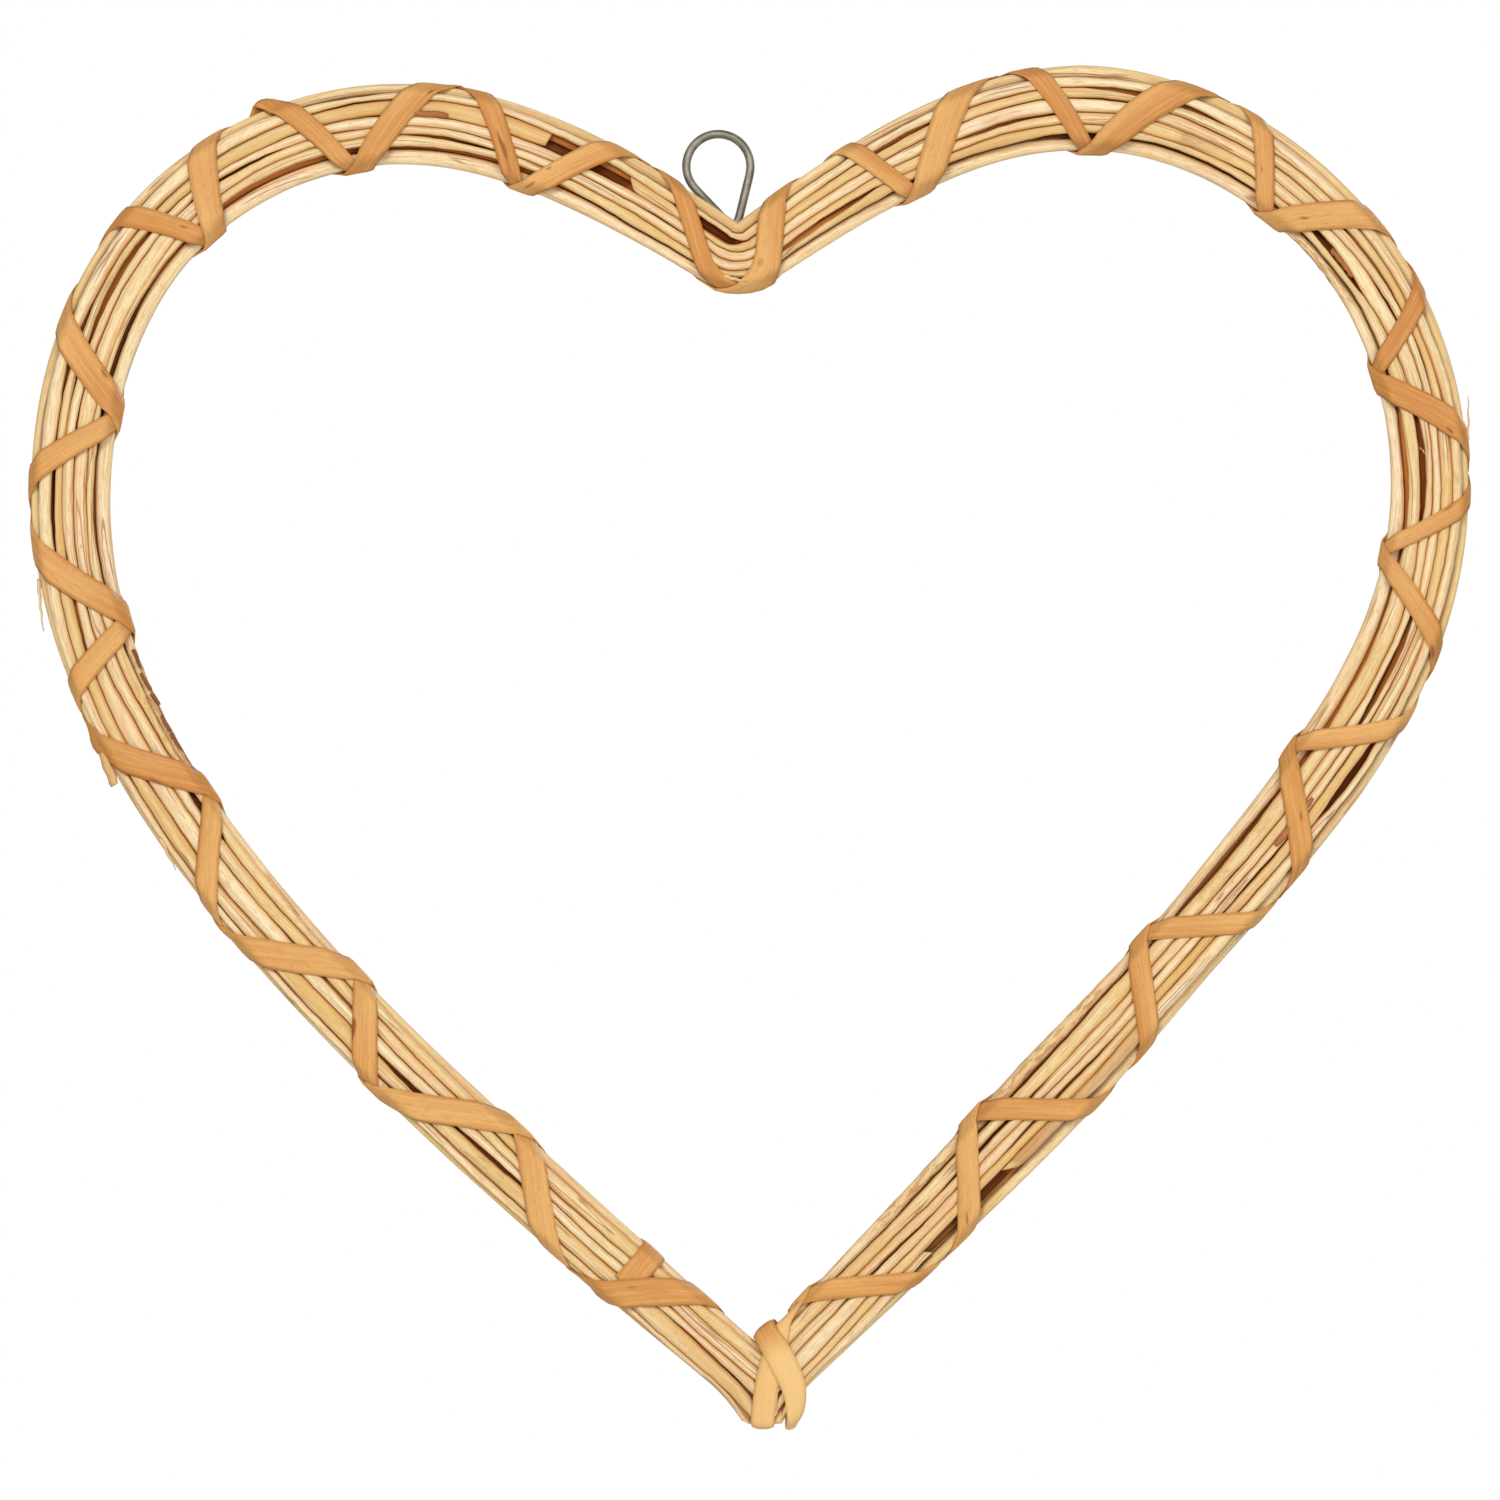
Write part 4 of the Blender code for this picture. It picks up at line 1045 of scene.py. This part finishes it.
def shade(red, green, blue):
    """A colour as the eye sees it, 0 to 255, made linear."""
    def linear(value):
        part = value / 255
        return part / 12.92 if part <= 0.04045 else ((part + 0.055) / 1.055) ** 2.4
    return (linear(red), linear(green), linear(blue), 1.0)


class Recipe:
    """A material's nodes, added one by one; colour is the colour so far."""

    def __init__(self, name, colour):
        self.material = bpy.data.materials.new(name)
        self.material.use_nodes = True
        self.tree = self.material.node_tree
        self.shader = self.tree.nodes["Principled BSDF"]
        self.colour = shade(*colour)

    def add(self, kind, settings=None, **inputs):
        """Adds a node, sets its properties and its inputs by name, and gives it back."""
        made = self.tree.nodes.new(kind)
        for key, value in (settings or {}).items():
            setattr(made, key, value)
        for key, value in inputs.items():
            self.feed(made.inputs[int(key[1:]) if key[0] == "_" else key], value)
        return made

    def feed(self, socket, value):
        """Links an output to a socket, or sets the socket's value."""
        if isinstance(value, bpy.types.NodeSocket):
            self.tree.links.new(value, socket)
        else:
            socket.default_value = value

    def attribute(self, name, output="Fac"):
        """An attribute of the mesh."""
        return self.add("ShaderNodeAttribute", {"attribute_name": name}).outputs[output]

    def noise(self, scale, detail=3.0, roughness=0.55):
        """Noise on the grain stretched by the scale in each direction, from 0 to 1."""
        grain = self.attribute("grain", "Vector")
        stretched = self.add("ShaderNodeMapping", Vector=grain, Scale=scale).outputs[0]
        fineness = {"Scale": 1.0, "Detail": detail, "Roughness": roughness}
        return self.add("ShaderNodeTexNoise", Vector=stretched, **fineness).outputs["Fac"]

    def ramp(self, value, low, high):
        """The value stretched so that low becomes 0 and high becomes 1, held between them."""
        limits = {"From Min": low, "From Max": high}
        settings = {"interpolation_type": "SMOOTHSTEP"}
        return self.add("ShaderNodeMapRange", settings, Value=value, **limits).outputs["Result"]

    def span(self, value, low, high):
        """The value from 0 to 1 made low to high."""
        limits = {"To Min": low, "To Max": high}
        return self.add("ShaderNodeMapRange", Value=value, **limits).outputs["Result"]

    def maths(self, how, first, second=0.0):
        """One step of arithmetic."""
        return self.add("ShaderNodeMath", {"operation": how}, _0=first, _1=second).outputs[0]

    def times(self, first, second):
        """Two values multiplied."""
        return self.maths("MULTIPLY", first, second)

    def vectors(self, how, first, second=(0.0, 0.0, 0.0)):
        """One step of arithmetic on vectors."""
        return self.add("ShaderNodeVectorMath", {"operation": how}, _0=first, _1=second).outputs

    def tint(self, colour, share, amount=None):
        """Mixes a colour into the colour so far, by the share, or by that share of the amount."""
        made = self.add("ShaderNodeMix", {"data_type": "RGBA"})
        self.feed(made.inputs[0], share if amount is None else self.times(share, amount))
        self.feed(made.inputs[6], self.colour)
        self.feed(made.inputs[7], shade(*colour))
        self.colour = made.outputs[2]

    def done(self, rough, height, strength, distance):
        """Puts the colour, the roughness and a bump from the height on the shader."""
        self.feed(self.shader.inputs["Base Color"], self.colour)
        self.feed(self.shader.inputs["Roughness"], rough)
        made = self.add("ShaderNodeBump", Height=height, Strength=strength, Distance=distance)
        self.feed(self.shader.inputs["Normal"], made.outputs[0])
        return self.material


def willow(name, pale, warm, pink):
    """Peeled willow: long streaks and cracks, mottled where torn, with painted orange-brown shade where rods
    press together, in the bundle's gaps and on the rods' inner flanks.
    """
    recipe = Recipe(name, pale)
    ramp, times, tint, maths = recipe.ramp, recipe.times, recipe.tint, recipe.maths
    tone, crevice, beside, torn, cut, depth, flank = (
        recipe.attribute(key) for key in ("tone", "crevice", "beside", "rough", "cut", "deep", "flank")
    )
    slow = recipe.noise((38.0, 330.0, 70.0), 2.0)
    broad = recipe.noise((18.0, 700.0, 50.0), 1.0)
    streaks = recipe.noise((55.0, 2400.0, 90.0), 4.0, 0.6)
    fibres = recipe.noise((190.0, 6000.0, 90.0), 2.0)
    specks = recipe.noise((420.0, 2400.0, 120.0), 2.0)
    mottle = recipe.noise((330.0, 1300.0, 90.0), 4.0, 0.6)
    hairs = recipe.noise((420.0, 4200.0, 90.0), 2.0)
    tint(warm, ramp(tone, 0.1, 1.2))
    tint(pink, ramp(slow, 0.40, 0.66), 0.75)
    tint((214, 164, 100), ramp(broad, 0.50, 0.78), 0.55)
    tint((208, 158, 96), ramp(streaks, 0.46, 0.68), 0.60)
    off_line = maths("ABSOLUTE", maths("SUBTRACT", broad, 0.47))
    crack = times(maths("SUBTRACT", 1.0, ramp(off_line, 0.004, 0.020)), ramp(slow, 0.48, 0.60))
    tint((158, 98, 46), crack, 0.75)
    tint((204, 156, 98), ramp(hairs, 0.46, 0.70), 0.5)
    tint((150, 96, 48), times(ramp(specks, 0.68, 0.76), ramp(slow, 0.5, 0.66)), 0.7)
    mild = maths("MINIMUM", torn, 1.0)
    ragged = times(ramp(mottle, 0.50, 0.62), mild)
    tint((226, 180, 116), mild, 0.35)
    tint((192, 134, 70), ragged, 0.65)
    # Painted shade: warmer tan on the inner flank of each rod
    tint((230, 176, 104), times(ramp(flank, 0.10, 1.0), ramp(slow, 0.25, 0.65)), 0.55)
    # Painted shade: warm tan a little further out from a neighbouring rod
    tint((232, 176, 102), times(maths("POWER", beside, 1.3), ramp(slow, 0.15, 0.75)), 0.75)
    # Painted shade: orange-brown to near black the deeper a place lies inside the bundle's wrap
    tint((216, 146, 74), times(ramp(depth, 0.6, 1.8), ramp(broad, 0.10, 0.60)), 0.85)
    tint((188, 108, 44), ramp(depth, 1.5, 2.6), 0.9)
    # Painted shade from large tone values: deep brown on middle rods seen through slits
    tint((162, 84, 36), ramp(tone, 1.35, 1.75), 0.9)
    tint((88, 38, 14), maths("MAXIMUM", ramp(depth, 2.6, 3.8), ramp(tone, 1.9, 2.7)), 0.9)
    bark = times(times(ramp(torn, 1.1, 1.9), ramp(flank, 0.35, 0.75)), ramp(mottle, 0.36, 0.48))
    tint((150, 76, 36), bark, 0.9)
    # Painted shade: orange-brown where another rod lies close
    tint((194, 130, 70), times(maths("POWER", crevice, 1.2), ramp(broad, 0.28, 0.62)), 0.85)
    tint((176, 118, 66), cut, 0.6)
    # Less reflection where the painted shade lies, so that it stays dark
    dull = maths("MAXIMUM", ramp(depth, 0.5, 1.6), ramp(beside, 0.3, 0.9))
    recipe.feed(recipe.shader.inputs["Specular IOR Level"], recipe.span(dull, 0.40, 0.02))
    height = maths("ADD", times(streaks, 0.7), times(fibres, 0.3))
    height = maths("ADD", height, times(crack, -0.8))
    height = maths("ADD", height, times(ragged, 0.8))
    return recipe.done(recipe.span(streaks, 0.50, 0.72), height, 0.7, 0.0003)


def skein(name, flecks_at):
    """Split willow strip: smooth orange tan with long grain, darker towards the edges, and brown flecks."""
    recipe = Recipe(name, STRIP_FACE)
    ramp, times, tint, vectors = recipe.ramp, recipe.times, recipe.tint, recipe.vectors
    edge, skew, pale, tone = (recipe.attribute(key) for key in ("edge", "skew", "pale", "tone"))
    broad = recipe.noise((22.0, 90.0, 90.0), 1.0)
    slow = recipe.noise((70.0, 300.0, 90.0), 2.0)
    streaks = recipe.noise((90.0, 2800.0, 90.0), 4.0, 0.6)
    pores = recipe.noise((900.0, 2600.0, 90.0))
    flecks = recipe.noise((115.0, 330.0, 150.0), 1.0)
    tint(STRIP_DEEP, ramp(slow, 0.34, 0.66), 0.75)
    tint((194, 122, 54), tone)
    tint(STRIP_LIGHT, ramp(broad, 0.44, 0.64), 0.7)
    tint((196, 132, 66), ramp(skew, -0.9, 1.0), 0.38)
    tint(STRIP_LIGHT, ramp(streaks, 0.48, 0.68), 0.45)
    tint((186, 116, 54), ramp(streaks, 0.50, 0.34), 0.25)
    tint((190, 126, 62), ramp(pores, 0.50, 0.72), 0.40)
    tint((186, 118, 54), times(ramp(edge, 0.72, 1.0), ramp(slow, 0.30, 0.60)), 0.5)
    # Painted light: the last loop over the point made paler
    tint((244, 206, 138), pale, 0.8)
    spots = times(ramp(flecks, 0.70, 0.78), ramp(pale, 0.4, 0.0))
    grain = recipe.attribute("grain", "Vector")
    for middle, size in flecks_at:
        offset = vectors("SUBTRACT", grain, middle)["Vector"]
        flat = vectors("MULTIPLY", offset, (1.0, 2.2, 0.0))["Vector"]
        ragged = recipe.maths("ADD", vectors("LENGTH", flat)["Value"], times(pores, size))
        spots = recipe.maths("MAXIMUM", spots, ramp(ragged, size * 1.15, size * 0.55))
    tint((142, 76, 30), spots, 0.85)
    recipe.shader.inputs["Specular IOR Level"].default_value = 0.28
    height = recipe.maths("ADD", streaks, times(pores, 0.5))
    return recipe.done(recipe.span(streaks, 0.42, 0.64), height, 0.45, 0.0002)


def galvanised_wire():
    """Dull galvanised steel with drawn lines."""
    recipe = Recipe("galvanised_wire_looks", (122, 117, 104))
    lines = recipe.noise((60.0, 2500.0, 1.0))
    cloudy = recipe.noise((260.0, 500.0, 1.0))
    recipe.tint((158, 153, 138), recipe.ramp(cloudy, 0.35, 0.65))
    recipe.tint((98, 94, 84), recipe.ramp(lines, 0.5, 0.7), 0.4)
    recipe.shader.inputs["Metallic"].default_value = 0.75
    return recipe.done(recipe.span(cloudy, 0.46, 0.60), lines, 0.2, 0.0001)


def area_light(name, spot, size, energy, colour):
    """A soft square light that points at the middle of the heart."""
    data = bpy.data.lights.new(name, "AREA")
    data.size = size
    data.energy = energy
    data.color = colour
    thing = bpy.data.objects.new(name, data)
    thing.location = spot
    thing.rotation_euler = (Vector(LIT_POINT) - Vector(spot)).to_track_quat("-Z", "Y").to_euler()
    bpy.context.scene.collection.objects.link(thing)


def build_stage():
    """A small pale floor well below the heart, a white room, soft lights and the camera."""
    mesh = bpy.data.meshes.new("floor")
    corners = ((-1, -1), (1, -1), (1, 1), (-1, 1))
    corners = [(x * FLOOR_HALF, y * FLOOR_HALF, FLOOR_LEVEL) for x, y in corners]
    mesh.from_pydata(corners, [], [(0, 1, 2, 3)])
    floor = bpy.data.objects.new("floor", mesh)
    material = bpy.data.materials.new("floor")
    material.use_nodes = True
    shader = material.node_tree.nodes["Principled BSDF"]
    shader.inputs["Base Color"].default_value = (0.86, 0.86, 0.85, 1.0)
    shader.inputs["Roughness"].default_value = 0.8
    mesh.materials.append(material)
    bpy.context.scene.collection.objects.link(floor)

    world = bpy.data.worlds.new("studio")
    bpy.context.scene.world = world
    world.use_nodes = True
    tree = world.node_tree
    choose = tree.nodes.new("ShaderNodeMixShader")
    seen = tree.nodes.new("ShaderNodeLightPath")
    tree.links.new(seen.outputs["Is Camera Ray"], choose.inputs[0])
    whites = tree.nodes["Background"], tree.nodes.new("ShaderNodeBackground")
    for socket, white, strength in zip((1, 2), whites, (ROOM_LIGHT, 1.0)):
        white.inputs["Color"].default_value = (1.0, 1.0, 1.0, 1.0)
        white.inputs["Strength"].default_value = strength
        tree.links.new(white.outputs[0], choose.inputs[socket])
    tree.links.new(choose.outputs[0], tree.nodes["World Output"].inputs[0])
    for name, light in LIGHTS.items():
        area_light(name, *light)

    data = bpy.data.cameras.new("camera")
    data.lens = LENS
    data.sensor_width = SENSOR_WIDTH
    camera = bpy.data.objects.new("camera", data)
    camera.location = (VIEW_MIDDLE[0], -VIEW_WIDTH * LENS / SENSOR_WIDTH, VIEW_MIDDLE[1])
    camera.rotation_euler = (math.radians(90), 0.0, 0.0)
    bpy.context.scene.collection.objects.link(camera)
    bpy.context.scene.camera = camera
    bpy.context.scene.view_settings.view_transform = "Standard"


materials = {name: willow(name + "_looks", *colours) for name, colours in WILLOWS.items()}
build_rods(materials)
build_strips()
build_wire(galvanised_wire())
build_stage()
